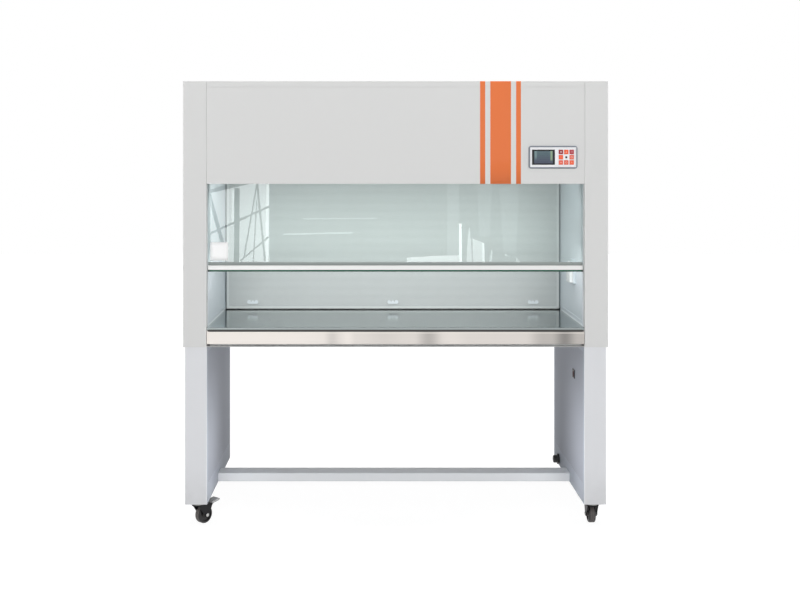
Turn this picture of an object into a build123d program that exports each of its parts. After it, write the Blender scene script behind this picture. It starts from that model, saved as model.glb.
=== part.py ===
from build123d import *
import os
from math import cos, radians, sin

# A horizontal laminar flow clean bench on a castored stand, in millimetres.
# X runs along the bench, the worker stands at -Y, Z is up, and the origin is
# on the floor under the middle.  "Inner" and "outer" are seen from that middle.

os.makedirs("parts", exist_ok=True)

# ---------------------------------------------------------------- overall size
WIDTH = 1500.0  # over the side shells
DEPTH = 720.0  # control bezel's face to rear cover
HEIGHT = 1580.0
BEZEL_PROUD = 8.0  # the bezel stands this far off the fascia
CABINET_Z = 642.0  # underside of the cabinet, top of the legs
CASTER_H = 85.0
PILLAR = 83.0  # width of each side shell
WORKTOP_Z = 711.0
WORK_DEPTH = 500.0  # fascia's plane to the diffuser
FASCIA_Z = 1218.0  # bottom edge of the fascia

# ---------------------------------------------------------- sheets and spacing
SHEET = 1.5
LINER = 1.2
FOLD = 3.0  # outside radius of a fold
SEAT = 0.2  # between panels that are screwed or set on each other
FREE = 0.4  # between flat pieces that slide past each other
FIT = 0.05  # a shaft's radial clearance in its bore
BOLT_R = 4.0
BOLT_PLAY = 0.25

HALF = WIDTH / 2
INNER = HALF - PILLAR  # half the clear opening
FRONT = -DEPTH / 2 + BEZEL_PROUD
REAR = DEPTH / 2
ROOF = HEIGHT - SHEET  # underside of the top cover
BACK = REAR - SHEET  # inside of the rear cover
PAN_TOP = CABINET_Z + SHEET
DIFFUSER_Y = FRONT + WORK_DEPTH


def folded(plane, points, thickness, length, side, radius=FOLD):
    """A sheet bent along a line in the plane, drawn out square to it."""
    with BuildPart() as sheet:
        with BuildSketch(plane):
            with BuildLine():
                FilletPolyline(*points, radius=radius)
                offset(amount=thickness, side=side)
            make_face()
        extrude(amount=length)
    return sheet.part


def block(x0, x1, y0, y1, z0, z1):
    """A plain block between two corners."""
    with BuildPart() as solid:
        with Locations(((x0 + x1) / 2, (y0 + y1) / 2, (z0 + z1) / 2)):
            Box(abs(x1 - x0), abs(y1 - y0), abs(z1 - z0))
    return solid.part


def rod(start, direction, radius, length):
    """A round bar from a point, along a direction."""
    with BuildPart() as solid:
        with BuildSketch(Plane(origin=start, z_dir=direction)):
            Circle(radius)
        extrude(amount=length)
    return solid.part


def hexagon(start, direction, flats, length):
    """A six-sided head or nut from a point, along a direction."""
    with BuildPart() as solid:
        with BuildSketch(Plane(origin=start, z_dir=direction)):
            RegularPolygon(flats / 2, 6, major_radius=False)
        extrude(amount=length)
    return solid.part


def write(piece, label, where=None):
    """Labels a finished piece, sets it in its place and writes its file."""
    if where is not None:
        piece = piece.moved(where)
    piece.label = label
    export_step(piece, f"parts/{label}.step")


# ------------------------------------------------------------------- the stand
LEG_INSET = 6.0  # the legs stand inside the cabinet's outline by this much
LEG_OUTER = HALF - LEG_INSET
LEG_INNER = INNER - 1.0
LEG_FRONT = FRONT + LEG_INSET
LEG_DEPTH = 640.0
LEG_REAR = LEG_FRONT + LEG_DEPTH
LEG_BAND = 67.0  # plain band under the inner panel
LEG_POST = 26.0  # front and rear strips beside the inner panel
LEG_PLATE = 4.0
PANEL_LAP = 8.0

STRETCHER_Y = FRONT + 290.0
STRETCHER_DEPTH = 80.0
STRETCHER_H = 32.0
STRETCHER_Z = CASTER_H + 1.0
STRETCHER_WALL = 2.0
END_PLATE = 5.0

GLAND_Y = FRONT + 526.0
GLAND_Z = 110.0
GLAND_THREAD_R = 12.0
ROCKER_Y = FRONT + 202.0
ROCKER_Z = 512.0
SWITCH_L = 40.0
SWITCH_H = 32.0
SWITCH_BODY_L = 36.0
SWITCH_BODY_H = 26.0

CASTER_X = 705.0
CASTER_FRONT_Y = FRONT + 55.0
CASTER_REAR_Y = FRONT + 590.0
PLATE_L = 70.0
PLATE_W = 56.0
PLATE_T = 2.5
PLATE_BOLT_X = 20.0
PLATE_BOLT_Y = 27.0

LEG_BOLT_YS = (LEG_FRONT + 60.0, LEG_REAR - 60.0)
STRETCHER_BOLT_YS = (STRETCHER_Y + 18.0, STRETCHER_Y + STRETCHER_DEPTH - 18.0)
STRETCHER_BOLT_Z = STRETCHER_Z + STRETCHER_H / 2
LEG_MID = (LEG_OUTER + LEG_INNER) / 2


def panel_window(side):
    """The opening in a leg's inner wall: y and z limits."""
    return (
        LEG_FRONT + LEG_POST,
        LEG_REAR - LEG_POST,
        CASTER_H + LEG_BAND,
        CABINET_Z - 20.0,
    )


def leg(side):
    """A hollow leg: folded skin, thick plates at both ends, inner opening."""
    y0, y1, z0, z1 = panel_window(side)
    with BuildPart() as skin:
        with BuildSketch(Plane.XY.offset(CASTER_H)):
            with Locations((side * LEG_MID, (LEG_FRONT + LEG_REAR) / 2)):
                RectangleRounded(LEG_OUTER - LEG_INNER, LEG_DEPTH, FOLD)
        extrude(amount=CABINET_Z - CASTER_H)
        with BuildSketch(Plane.XY.offset(CASTER_H + LEG_PLATE)):
            with Locations((side * LEG_MID, (LEG_FRONT + LEG_REAR) / 2)):
                Rectangle(LEG_OUTER - LEG_INNER - 2 * SHEET, LEG_DEPTH - 2 * SHEET)
        extrude(amount=CABINET_Z - CASTER_H - 2 * LEG_PLATE, mode=Mode.SUBTRACT)
        wall = side * (LEG_INNER - SHEET), side * (LEG_INNER + 2 * SHEET)
        add(block(*wall, y0, y1, z0, z1), mode=Mode.SUBTRACT)
        for y in LEG_BOLT_YS:
            top = (side * LEG_MID, y, CABINET_Z + SHEET)
            add(rod(top, (0, 0, -1), BOLT_R + BOLT_PLAY, 3 * LEG_PLATE), mode=Mode.SUBTRACT)
        for y in STRETCHER_BOLT_YS:
            inside = (side * (LEG_INNER - SHEET), y, STRETCHER_BOLT_Z)
            add(rod(inside, (side, 0, 0), BOLT_R + BOLT_PLAY, 4 * SHEET), mode=Mode.SUBTRACT)
        for y in (CASTER_FRONT_Y, CASTER_REAR_Y):
            with BuildSketch(Plane.XY.offset(CASTER_H)):
                with Locations((side * CASTER_X, y)):
                    with GridLocations(2 * PLATE_BOLT_X, 2 * PLATE_BOLT_Y, 2, 2):
                        Circle(BOLT_R / 2 + 1 + BOLT_PLAY)
            extrude(amount=LEG_PLATE, mode=Mode.SUBTRACT)
        if side > 0:
            hole = (LEG_INNER - SHEET, GLAND_Y, GLAND_Z)
            add(rod(hole, (1, 0, 0), GLAND_THREAD_R + BOLT_PLAY, 4 * SHEET), mode=Mode.SUBTRACT)
    return skin.part


def leg_panel(side):
    """The panel that closes a leg's inner opening, lapped behind its edges."""
    y0, y1, z0, z1 = panel_window(side)
    face = side * LEG_INNER, side * (LEG_INNER + SHEET)
    lap = side * (LEG_INNER + SHEET), side * (LEG_INNER + 2 * SHEET)
    with BuildPart() as panel:
        add(block(*face, y0 + SEAT, y1 - SEAT, z0 + SEAT, z1 - SEAT))
        reach = PANEL_LAP
        add(block(lap[0], lap[1], y0 - reach, y1 + reach, z0 - reach, z1 + reach))
        if side > 0:
            y, z = SWITCH_BODY_L / 2 + SEAT, SWITCH_BODY_H / 2 + SEAT
            hole = block(face[0] - 1, lap[1] + 1, ROCKER_Y - y, ROCKER_Y + y, ROCKER_Z - z, ROCKER_Z + z)
            add(hole, mode=Mode.SUBTRACT)
    return panel.part


write(leg(-1), "left_leg")
write(leg(1), "right_leg")

with BuildPart() as leg_inner_panels:
    for hand in (-1, 1):
        # The lap lies on the inside of the skin, so it stays clear of its face.
        add(leg_panel(hand).moved(Location((hand * FIT, 0, 0))))
write(leg_inner_panels.part, "leg_inner_panels")

with BuildPart() as stretcher_bar:
    with BuildSketch(Plane.YZ.offset(-(LEG_INNER - SEAT))):
        with Locations((STRETCHER_Y + STRETCHER_DEPTH / 2, STRETCHER_Z + STRETCHER_H / 2)):
            RectangleRounded(STRETCHER_DEPTH, STRETCHER_H, 2 * STRETCHER_WALL)
    extrude(amount=2 * (LEG_INNER - SEAT))
    with BuildSketch(Plane.YZ.offset(-(LEG_INNER - SEAT - END_PLATE))):
        with Locations((STRETCHER_Y + STRETCHER_DEPTH / 2, STRETCHER_Z + STRETCHER_H / 2)):
            inside = (STRETCHER_DEPTH - 2 * STRETCHER_WALL, STRETCHER_H - 2 * STRETCHER_WALL)
            RectangleRounded(*inside, STRETCHER_WALL)
    extrude(amount=2 * (LEG_INNER - SEAT - END_PLATE), mode=Mode.SUBTRACT)
    for hand in (-1, 1):
        for bolt_y in STRETCHER_BOLT_YS:
            mouth = (hand * LEG_INNER, bolt_y, STRETCHER_BOLT_Z)
            add(rod(mouth, (-hand, 0, 0), BOLT_R + BOLT_PLAY, 2 * END_PLATE), mode=Mode.SUBTRACT)
write(stretcher_bar.part, "stretcher_bar")

HEAD_FLATS = 13.0
HEAD_H = 5.0

with BuildPart() as stand_bolts:
    for hand in (-1, 1):
        for bolt_y in LEG_BOLT_YS:
            under = (hand * LEG_MID, bolt_y, CABINET_Z - LEG_PLATE - FIT)
            add(hexagon(under, (0, 0, -1), HEAD_FLATS, HEAD_H))
            add(rod(under, (0, 0, 1), BOLT_R, LEG_PLATE + SHEET + 9.0))
            nut = (hand * LEG_MID, bolt_y, PAN_TOP + FIT)
            add(hexagon(nut, (0, 0, 1), HEAD_FLATS, HEAD_H + 1.5))
        for bolt_y in STRETCHER_BOLT_YS:
            within = (hand * (LEG_INNER + SHEET + FIT), bolt_y, STRETCHER_BOLT_Z)
            add(hexagon(within, (hand, 0, 0), HEAD_FLATS, HEAD_H))
            add(rod(within, (-hand, 0, 0), BOLT_R, SHEET + END_PLATE + 10.0))
            nut = (hand * (LEG_INNER - SEAT - END_PLATE - FIT), bolt_y, STRETCHER_BOLT_Z)
            add(hexagon(nut, (-hand, 0, 0), HEAD_FLATS, HEAD_H + 1.5))
write(stand_bolts.part, "stand_bolts")

# ----------------------------------------------------------------- the casters
WHEEL_R = 31.5
WHEEL_W = 25.0
WHEEL_SHOULDER = 5.5
HUB_R = 10.0
AXLE_R = 4.0
TRAIL = 26.0
CHEEK_IN = 17.0
CHEEK_T = 2.5
CROWN_R = 22.5
CROWN_Z = 69.0
CUP_R = 20.0
CUP_Z = CROWN_Z + CHEEK_T + SEAT
KINGPIN_R = 5.0
PLATE_Z = CASTER_H - PLATE_T
PEDAL_PIN_R = 3.0
PEDAL_Y = TRAIL + 19.0
PEDAL_Z = 66.0
PEDAL_W = 32.0

CASTERS = {
    "front_left": (-CASTER_X, CASTER_FRONT_Y, -41.0),
    "front_right": (CASTER_X, CASTER_FRONT_Y, 0.0),
    "rear_left": (-CASTER_X, CASTER_REAR_Y, 5.0),
    "rear_right": (CASTER_X, CASTER_REAR_Y, -12.0),
}


def caster_plate():
    """Top plate and bearing cup; the kingpin turns in the bore."""
    with BuildPart() as plate:
        with BuildSketch(Plane.XY.offset(PLATE_Z)):
            RectangleRounded(PLATE_W, PLATE_L, 5.0)
            with GridLocations(2 * PLATE_BOLT_X, 2 * PLATE_BOLT_Y, 2, 2):
                Circle(BOLT_R / 2 + 1 + BOLT_PLAY, mode=Mode.SUBTRACT)
        extrude(amount=PLATE_T - FIT)
        with BuildSketch(Plane.XY.offset(CUP_Z)):
            Circle(CUP_R)
        extrude(amount=PLATE_Z - CUP_Z)
        chamfer(plate.edges().filter_by(GeomType.CIRCLE).sort_by(Axis.Z)[0], length=1.2)
        with BuildSketch(Plane.XY.offset(CUP_Z)):
            Circle(KINGPIN_R + FIT)
        extrude(amount=CASTER_H - CUP_Z, mode=Mode.SUBTRACT)
        for x in (-PLATE_BOLT_X, PLATE_BOLT_X):
            for y in (-PLATE_BOLT_Y, PLATE_BOLT_Y):
                add(hexagon((x, y, PLATE_Z), (0, 0, -1), 2.5 * BOLT_R, BOLT_R - 1))
                add(rod((x, y, PLATE_Z - 1), (0, 0, 1), BOLT_R / 2 + 1, LEG_PLATE + 8.0))
    return plate.part


def fork(braked):
    """Crown, kingpin, two cheeks and the riveted axle; it trails to +Y."""
    with BuildPart() as body:
        with BuildSketch(Plane.XY.offset(CROWN_Z)):
            Circle(CROWN_R)
        extrude(amount=CHEEK_T)
        with BuildSketch(Plane.XY.offset(CROWN_Z + CHEEK_T)):
            Circle(KINGPIN_R)
        extrude(amount=CASTER_H - CROWN_Z - CHEEK_T - 2 * SEAT)
        for hand in (-1, 1):
            with BuildSketch(Plane.YZ.offset(hand * (CHEEK_IN + CHEEK_T / 2))):
                with Locations((TRAIL, WHEEL_R)):
                    Circle(HUB_R)
                with Locations((-2.0, CROWN_Z + CHEEK_T / 2)):
                    Rectangle(18.0, CHEEK_T)
                with Locations((12.0, CROWN_Z + CHEEK_T / 2)):
                    Rectangle(14.0, CHEEK_T)
                if braked:
                    with Locations((PEDAL_Y, PEDAL_Z)):
                        Circle(5.5)
                make_hull()
            extrude(amount=CHEEK_T / 2, both=True)
        with BuildSketch(Plane.XY.offset(CROWN_Z)):
            with Locations((0, 2.0)):
                Rectangle(2 * (CHEEK_IN + CHEEK_T), 26.0)
        extrude(amount=CHEEK_T)
        span = CHEEK_IN + CHEEK_T
        add(rod((-span - 2.0, TRAIL, WHEEL_R), (1, 0, 0), AXLE_R, 2 * span + 4.0))
        for hand in (-1, 1):
            add(rod((hand * span, TRAIL, WHEEL_R), (hand, 0, 0), AXLE_R + 2.5, 2.0))
        if braked:
            add(rod((-span - 1.5, PEDAL_Y, PEDAL_Z), (1, 0, 0), PEDAL_PIN_R, 2 * span + 3.0))
    return body.part


def wheel():
    """Tyre with rounded shoulders on a hub bored for the axle."""
    with BuildPart() as body:
        with BuildSketch(Plane.XY):
            with BuildLine():
                Polyline(
                    (AXLE_R + FIT, CHEEK_IN - FREE),
                    (HUB_R, CHEEK_IN - FREE),
                    (HUB_R, 8.0),
                    (WHEEL_R - 9.0, 8.0),
                    (WHEEL_R - 8.0, WHEEL_W / 2),
                    (WHEEL_R - WHEEL_SHOULDER, WHEEL_W / 2),
                )
                JernArc(
                    (WHEEL_R - WHEEL_SHOULDER, WHEEL_W / 2), (1, 0), WHEEL_SHOULDER, -90
                )
                Line((WHEEL_R, WHEEL_W / 2 - WHEEL_SHOULDER), (WHEEL_R, 0))
                Line((WHEEL_R, 0), (AXLE_R + FIT, 0))
                Line((AXLE_R + FIT, 0), (AXLE_R + FIT, CHEEK_IN - FREE))
            make_face()
        revolve(axis=Axis.Y)
        mirror(about=Plane.XZ)
    return body.part.rotate(Axis.Z, 90).moved(Location((0, TRAIL, WHEEL_R)))


def pedal():
    """Brake lever on a cross pin behind the wheel, tread plate trailing."""
    with BuildPart() as body:
        with BuildSketch(Plane.YZ):
            with Locations((PEDAL_Y, PEDAL_Z)):
                Circle(PEDAL_PIN_R + 3.5)
            with Locations(Location((PEDAL_Y + 12.0, PEDAL_Z + 4.0), 10)):
                Rectangle(14.0, 6.0)
            make_hull()
        extrude(amount=CHEEK_IN - 2 * FREE, both=True)
        with BuildSketch(Plane.YZ):
            with BuildLine():
                Polyline(
                    (PEDAL_Y + 8.0, PEDAL_Z - 1.0),
                    (PEDAL_Y + 40.0, PEDAL_Z + 4.0),
                    (PEDAL_Y + 44.0, PEDAL_Z + 8.5),
                    (PEDAL_Y + 41.0, PEDAL_Z + 11.5),
                    (PEDAL_Y + 8.0, PEDAL_Z + 7.0),
                    close=True,
                )
            make_face()
        extrude(amount=PEDAL_W / 2, both=True)
        add(
            rod((-CHEEK_IN, PEDAL_Y, PEDAL_Z), (1, 0, 0), PEDAL_PIN_R + FIT, 2 * CHEEK_IN),
            mode=Mode.SUBTRACT,
        )
    return body.part


with BuildPart() as caster_plates:
    for x, y, yaw in CASTERS.values():
        add(caster_plate().moved(Location((x, y, 0))))
write(caster_plates.part, "caster_plates")

for name, (x, y, yaw) in CASTERS.items():
    spot = Location((x, y, 0), (0, 0, yaw))
    write(fork(name.startswith("front")), f"{name}_fork", spot)
    write(wheel(), f"{name}_wheel", spot)
    if name.startswith("front"):
        write(pedal(), f"{name}_pedal", spot)

# --------------------------------------------------------- the mains's fittings
HOUSING_PROUD = 2.5
PIVOT_IN = 8.0  # the rocker's pivot lies this far behind the leg's face
PIVOT_R = 2.0
ROCKER_L = 28.0
ROCKER_H = 20.0
ROCKER_TILT = 9.0

with BuildPart() as mains_fittings:
    seat_x = LEG_INNER - FIT
    add(hexagon((seat_x, GLAND_Y, GLAND_Z), (-1, 0, 0), 36.0, 8.0))
    add(rod((seat_x - 8.0, GLAND_Y, GLAND_Z), (-1, 0, 0), 15.0, 16.0))
    fillet(mains_fittings.edges().filter_by(GeomType.CIRCLE).sort_by(Axis.X)[0], radius=5.0)
    add(rod((seat_x, GLAND_Y, GLAND_Z), (1, 0, 0), GLAND_THREAD_R, 14.0))
    nut_x = LEG_INNER + SHEET + FIT
    add(hexagon((nut_x, GLAND_Y, GLAND_Z), (1, 0, 0), 34.0, 5.0))
    add(
        rod((seat_x - 40.0, GLAND_Y, GLAND_Z), (1, 0, 0), 5.0, 80.0),
        mode=Mode.SUBTRACT,
    )
    face_x = LEG_INNER - FIT
    half_l, half_h = SWITCH_L / 2, SWITCH_H / 2
    add(block(face_x - HOUSING_PROUD, face_x, ROCKER_Y - half_l, ROCKER_Y + half_l,
              ROCKER_Z - half_h, ROCKER_Z + half_h))
    half_l, half_h = SWITCH_BODY_L / 2, SWITCH_BODY_H / 2
    add(block(face_x, face_x + 24.0, ROCKER_Y - half_l, ROCKER_Y + half_l,
              ROCKER_Z - half_h, ROCKER_Z + half_h))
    half_l, half_h = ROCKER_L / 2 + 6 * FREE, ROCKER_H / 2 + FREE
    add(block(face_x - HOUSING_PROUD, face_x + 20.0, ROCKER_Y - half_l, ROCKER_Y + half_l,
              ROCKER_Z - half_h, ROCKER_Z + half_h), mode=Mode.SUBTRACT)
    low = (LEG_INNER + PIVOT_IN, ROCKER_Y, ROCKER_Z - ROCKER_H / 2 - FREE - 1.5)
    add(rod(low, (0, 0, 1), PIVOT_R + FIT, ROCKER_H + 2 * FREE + 3.0), mode=Mode.SUBTRACT)
write(mains_fittings.part, "mains_fittings")

with BuildPart() as power_rocker:
    with BuildSketch(Plane.XY.offset(-ROCKER_H / 2)):
        with BuildLine():
            Polyline(
                (-PIVOT_IN - 4.5, -ROCKER_L / 2),
                (-PIVOT_IN - 2.5, 0),
                (-PIVOT_IN - 4.5, ROCKER_L / 2),
                (-PIVOT_IN + 3.0, ROCKER_L / 2),
                (4.0, 4.0),
                (4.0, -4.0),
                (-PIVOT_IN + 3.0, -ROCKER_L / 2),
                close=True,
            )
        make_face()
    extrude(amount=ROCKER_H)
    add(rod((0, 0, -ROCKER_H / 2 - 1.2), (0, 0, 1), PIVOT_R, ROCKER_H + 2.4))
write(
    power_rocker.part,
    "power_rocker",
    Location((LEG_INNER + PIVOT_IN, ROCKER_Y, ROCKER_Z), (0, 0, -ROCKER_TILT)),
)

# ----------------------------------------------------------------- the cabinet
RETURN = 24.0  # fold behind a pillar's inner edge, and the fascia's depth
REAR_FLANGE = 18.0
BAND = 20.0  # top cover's front band over the fascia
GUIDE_END = 46.0  # from the fascia's plane to the liners' front edge
CEILING_Z = 1250.0
DECK_Z = 1268.0
DECK_T = 2.0
SKIRT_H = 18.0
SKIRT_T = 1.0

for hand, name in ((-1, "left_side_shell"), (1, "right_side_shell")):
    line = [
        (hand * INNER, FRONT + RETURN),
        (hand * INNER, FRONT),
        (hand * HALF, FRONT),
        (hand * HALF, BACK),
        (hand * (HALF - REAR_FLANGE), BACK),
    ]
    inward = Side.LEFT if hand > 0 else Side.RIGHT
    shell = folded(Plane.XY.offset(CABINET_Z), line, SHEET, ROOF - CABINET_Z, inward)
    write(shell, name)

# The blower and its filter, which the cover and the deck are cut for.
BLOWER_Y = 200.0
BLOWER_Z = 1415.0
SCROLL_R = 118.0
SCROLL_X = 230.0
SCROLL_W = 150.0
OUTLET_D = 90.0
FILTER_L = 620.0
FILTER_W = 300.0
FILTER_T = 22.0
FILTER_Y = 60.0
SLOT_L = 90.0
SLOT_W = 8.0

with BuildPart() as top_cover:
    with BuildSketch(Plane.XY.offset(ROOF)):
        with Locations((0, (FRONT + REAR) / 2)):
            RectangleRounded(WIDTH, REAR - FRONT, FOLD)
    extrude(amount=SHEET)
    add(block(-(INNER - SEAT), INNER - SEAT, FRONT, FRONT + SHEET, HEIGHT - BAND, ROOF + SHEET / 2))
    with BuildSketch(Plane.XY.offset(ROOF)):
        with Locations((0, FILTER_Y)):
            with GridLocations(SLOT_L + 16, 2.4 * SLOT_W, 5, 12):
                SlotOverall(SLOT_L, SLOT_W)
    extrude(amount=SHEET, mode=Mode.SUBTRACT)
write(top_cover.part, "top_cover")

with BuildPart() as rear_cover:
    with BuildSketch(Plane.XZ.offset(-REAR)):
        with Locations((0, (CABINET_Z + ROOF) / 2)):
            RectangleRounded(WIDTH, ROOF - CABINET_Z, FOLD)
    extrude(amount=SHEET - FIT)
write(rear_cover.part, "rear_cover")

PANEL_X = 554.7  # middle of the control panel
PANEL_Z = 1312.0
BEZEL_L = 172.0
BEZEL_H = 80.0
BEZEL_RIM = 8.0
BEZEL_R = 9.0

FASCIA_TOP = HEIGHT - BAND - SEAT
with BuildPart() as fascia:
    with BuildSketch(Plane.XZ.offset(-FRONT)):
        with Locations((0, (FASCIA_Z + FASCIA_TOP) / 2)):
            Rectangle(2 * (INNER - SEAT), FASCIA_TOP - FASCIA_Z)
    extrude(amount=-RETURN)
    with BuildSketch(Plane.XZ.offset(-FRONT - SHEET)):
        with Locations((0, (FASCIA_Z + FASCIA_TOP) / 2)):
            Rectangle(2 * (INNER - SEAT - SHEET), FASCIA_TOP - FASCIA_Z - 2 * SHEET)
    extrude(amount=-RETURN, mode=Mode.SUBTRACT)
    fillet(fascia.faces().sort_by(Axis.Y)[0].edges(), radius=SHEET / 2)
    with BuildSketch(Plane.XZ.offset(-FRONT)):
        with Locations((PANEL_X, PANEL_Z)):
            Rectangle(BEZEL_L - 2 * BEZEL_RIM, BEZEL_H - 2 * BEZEL_RIM)
    extrude(amount=-RETURN / 2, mode=Mode.SUBTRACT)
write(fascia.part, "fascia")

LINER_TOP = DECK_Z + DECK_T + BAND
with BuildPart() as side_liners:
    for hand in (-1, 1):
        wall = hand * INNER, hand * (INNER + LINER)
        add(block(*wall, FRONT + GUIDE_END, BACK - SEAT, PAN_TOP + SEAT, LINER_TOP))
        skirt = hand * (INNER - SKIRT_T), hand * (INNER + LINER / 2)
        add(block(*skirt, FRONT + GUIDE_END, DIFFUSER_Y - 2.0, WORKTOP_Z + SEAT, WORKTOP_Z + SKIRT_H))
write(side_liners.part, "side_liners")

HEPA_Y = DIFFUSER_Y + 15.0
HEPA_D = 69.0
with BuildPart() as ceiling_panel:
    line = [
        (FRONT + GUIDE_END + 4.0, CEILING_Z + 14.0),
        (FRONT + GUIDE_END + 4.0, CEILING_Z),
        (HEPA_Y + HEPA_D, CEILING_Z),
        (HEPA_Y + HEPA_D, CEILING_Z + 14.0),
    ]
    start = Plane.YZ.offset(-(INNER - SEAT))
    add(folded(start, line, SHEET, 2 * (INNER - SEAT), Side.LEFT))
write(ceiling_panel.part, "ceiling_panel")

with BuildPart() as fan_deck:
    add(block(-(INNER - SEAT), INNER - SEAT, FRONT + 90.0, BACK - SEAT, DECK_Z, DECK_Z + DECK_T))
    for hand in (-1, 1):
        middle = hand * SCROLL_X
        reach = SCROLL_W / 2 - SHEET
        outlet = BLOWER_Y + SCROLL_R - OUTLET_D + SHEET, BLOWER_Y + SCROLL_R - SHEET
        cut = block(middle - reach, middle + reach, *outlet, DECK_Z - 1, DECK_Z + DECK_T + 1)
        add(cut, mode=Mode.SUBTRACT)
write(fan_deck.part, "fan_deck")

WORKTOP_HALF = INNER - SKIRT_T - SEAT
WORKTOP_REAR = HEPA_Y - 1.0
LIP_H = 59.0
RAIL_W = 30.0
HEPA_Z = WORKTOP_Z + 4.0
with BuildPart() as worktop_frame:
    edge = HALF - SHEET - SEAT
    add(block(-edge, edge, FRONT + LEG_INSET, BACK - SHEET - SEAT, CABINET_Z + FIT, PAN_TOP))
    fillet(worktop_frame.edges().filter_by(Axis.Z).group_by(Axis.Y)[-1], radius=FOLD)
    for side in ((-edge - 1, SEAT - INNER), (INNER - SEAT, edge + 1)):
        notch = block(*side, FRONT, FRONT + RETURN + SEAT, CABINET_Z, PAN_TOP + 1)
        add(notch, mode=Mode.SUBTRACT)
    under = WORKTOP_Z - SHEET - FIT
    for rail_y in (FRONT + 30.0, DIFFUSER_Y - 80.0):
        add(block(-660.0, 660.0, rail_y, rail_y + RAIL_W, PAN_TOP - SHEET / 2, under))
        hollow = block(-661.0, 661.0, rail_y + 2.0, rail_y + RAIL_W - 2.0, PAN_TOP, under - 2.0)
        add(hollow, mode=Mode.SUBTRACT)
    add(block(-660.0, 660.0, HEPA_Y + 10.0, HEPA_Y + 50.0, PAN_TOP - SHEET / 2, HEPA_Z - SEAT))
    add(block(-661.0, 661.0, HEPA_Y + 12.0, HEPA_Y + 48.0, PAN_TOP, HEPA_Z - SEAT - 2.0), mode=Mode.SUBTRACT)
    for hand in (-1, 1):
        for bolt_y in LEG_BOLT_YS:
            low = (hand * LEG_MID, bolt_y, CABINET_Z - 1)
            add(rod(low, (0, 0, 1), BOLT_R + BOLT_PLAY, 4.0), mode=Mode.SUBTRACT)
write(worktop_frame.part, "worktop_frame")

# -------------------------------------------------------------- the work zone
with BuildPart() as worktop:
    line = [
        (FRONT + 16.0, WORKTOP_Z - LIP_H),
        (FRONT, WORKTOP_Z - LIP_H),
        (FRONT, WORKTOP_Z),
        (WORKTOP_REAR, WORKTOP_Z),
        (WORKTOP_REAR, WORKTOP_Z - 16.0),
    ]
    add(folded(Plane.YZ.offset(-WORKTOP_HALF), line, SHEET, 2 * WORKTOP_HALF, Side.RIGHT))
write(worktop.part, "worktop")

DIFFUSER_HALF = INNER - 6.0
DIFFUSER_TOP = CEILING_Z - 2.0
STUD_X = 557.0
STUD_Z = WORKTOP_Z + 29.5
STUD_R = 3.0
LOBE_R = 7.0
LOBE_X = 14.5
with BuildPart() as diffuser:
    with BuildSketch(Plane.XZ.offset(-DIFFUSER_Y)):
        with Locations((0, (HEPA_Z + DIFFUSER_TOP) / 2)):
            Rectangle(2 * DIFFUSER_HALF, DIFFUSER_TOP - HEPA_Z)
    extrude(amount=-(HEPA_Y - DIFFUSER_Y - SEAT))
    with BuildSketch(Plane.XZ.offset(-DIFFUSER_Y - LINER)):
        with Locations((0, (HEPA_Z + DIFFUSER_TOP) / 2)):
            Rectangle(2 * (DIFFUSER_HALF - LINER), DIFFUSER_TOP - HEPA_Z - 2 * LINER)
    extrude(amount=-(HEPA_Y - DIFFUSER_Y), mode=Mode.SUBTRACT)
    fillet(diffuser.faces().sort_by(Axis.Y)[0].edges(), radius=LINER / 2)
    with BuildSketch(Plane.XZ.offset(-DIFFUSER_Y)):
        with Locations((-STUD_X, STUD_Z), (0, STUD_Z), (STUD_X, STUD_Z)):
            Circle(STUD_R + BOLT_PLAY)
    extrude(amount=-4.0, mode=Mode.SUBTRACT)
write(diffuser.part, "diffuser")

FRAME_W = 18.0
with BuildPart() as hepa_frame:
    with BuildSketch(Plane.XZ.offset(-HEPA_Y)):
        with Locations((0, (HEPA_Z + CEILING_Z - SEAT) / 2)):
            Rectangle(2 * (INNER - SEAT), CEILING_Z - SEAT - HEPA_Z)
            inside = 2 * (INNER - SEAT - FRAME_W), CEILING_Z - SEAT - HEPA_Z - 2 * FRAME_W
            Rectangle(*inside, mode=Mode.SUBTRACT)
    extrude(amount=-HEPA_D)
    # Cross bar that carries the diffuser's studs.
    add(block(-640.0, 640.0, HEPA_Y, HEPA_Y + 4.0, HEPA_Z + FRAME_W - 1.0, STUD_Z + 8.0))
    add(block(-650.0, -639.0, HEPA_Y, HEPA_Y + 4.0, HEPA_Z + FRAME_W - 1.0, STUD_Z + 8.0))
    add(block(639.0, 650.0, HEPA_Y, HEPA_Y + 4.0, HEPA_Z + FRAME_W - 1.0, STUD_Z + 8.0))
    with BuildSketch(Plane.XZ.offset(-HEPA_Y)):
        with Locations((-STUD_X, STUD_Z), (0, STUD_Z), (STUD_X, STUD_Z)):
            Circle(STUD_R + BOLT_PLAY)
    extrude(amount=-4.0, mode=Mode.SUBTRACT)
write(hepa_frame.part, "hepa_frame")

PLEATS = 60
PLEAT_T = 3.0
with BuildPart() as hepa_media:
    half = INNER - SEAT - FRAME_W - SEAT
    near, far = HEPA_Y + 6.0, HEPA_Y + HEPA_D - 6.0
    pitch = 2 * half / PLEATS
    front_line = []
    for n in range(PLEATS):
        front_line.append((-half + n * pitch, near))
        front_line.append((-half + (n + 0.5) * pitch, far - PLEAT_T))
    front_line.append((half, near))
    rear_line = [(u, v + PLEAT_T) for u, v in reversed(front_line)]
    bottom = HEPA_Z + FRAME_W + SEAT
    with BuildSketch(Plane.XY.offset(bottom)):
        with BuildLine():
            Polyline(*front_line, *rear_line, close=True)
        make_face()
    extrude(amount=CEILING_Z - SEAT - FRAME_W - SEAT - bottom)
write(hepa_media.part, "hepa_media")

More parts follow.
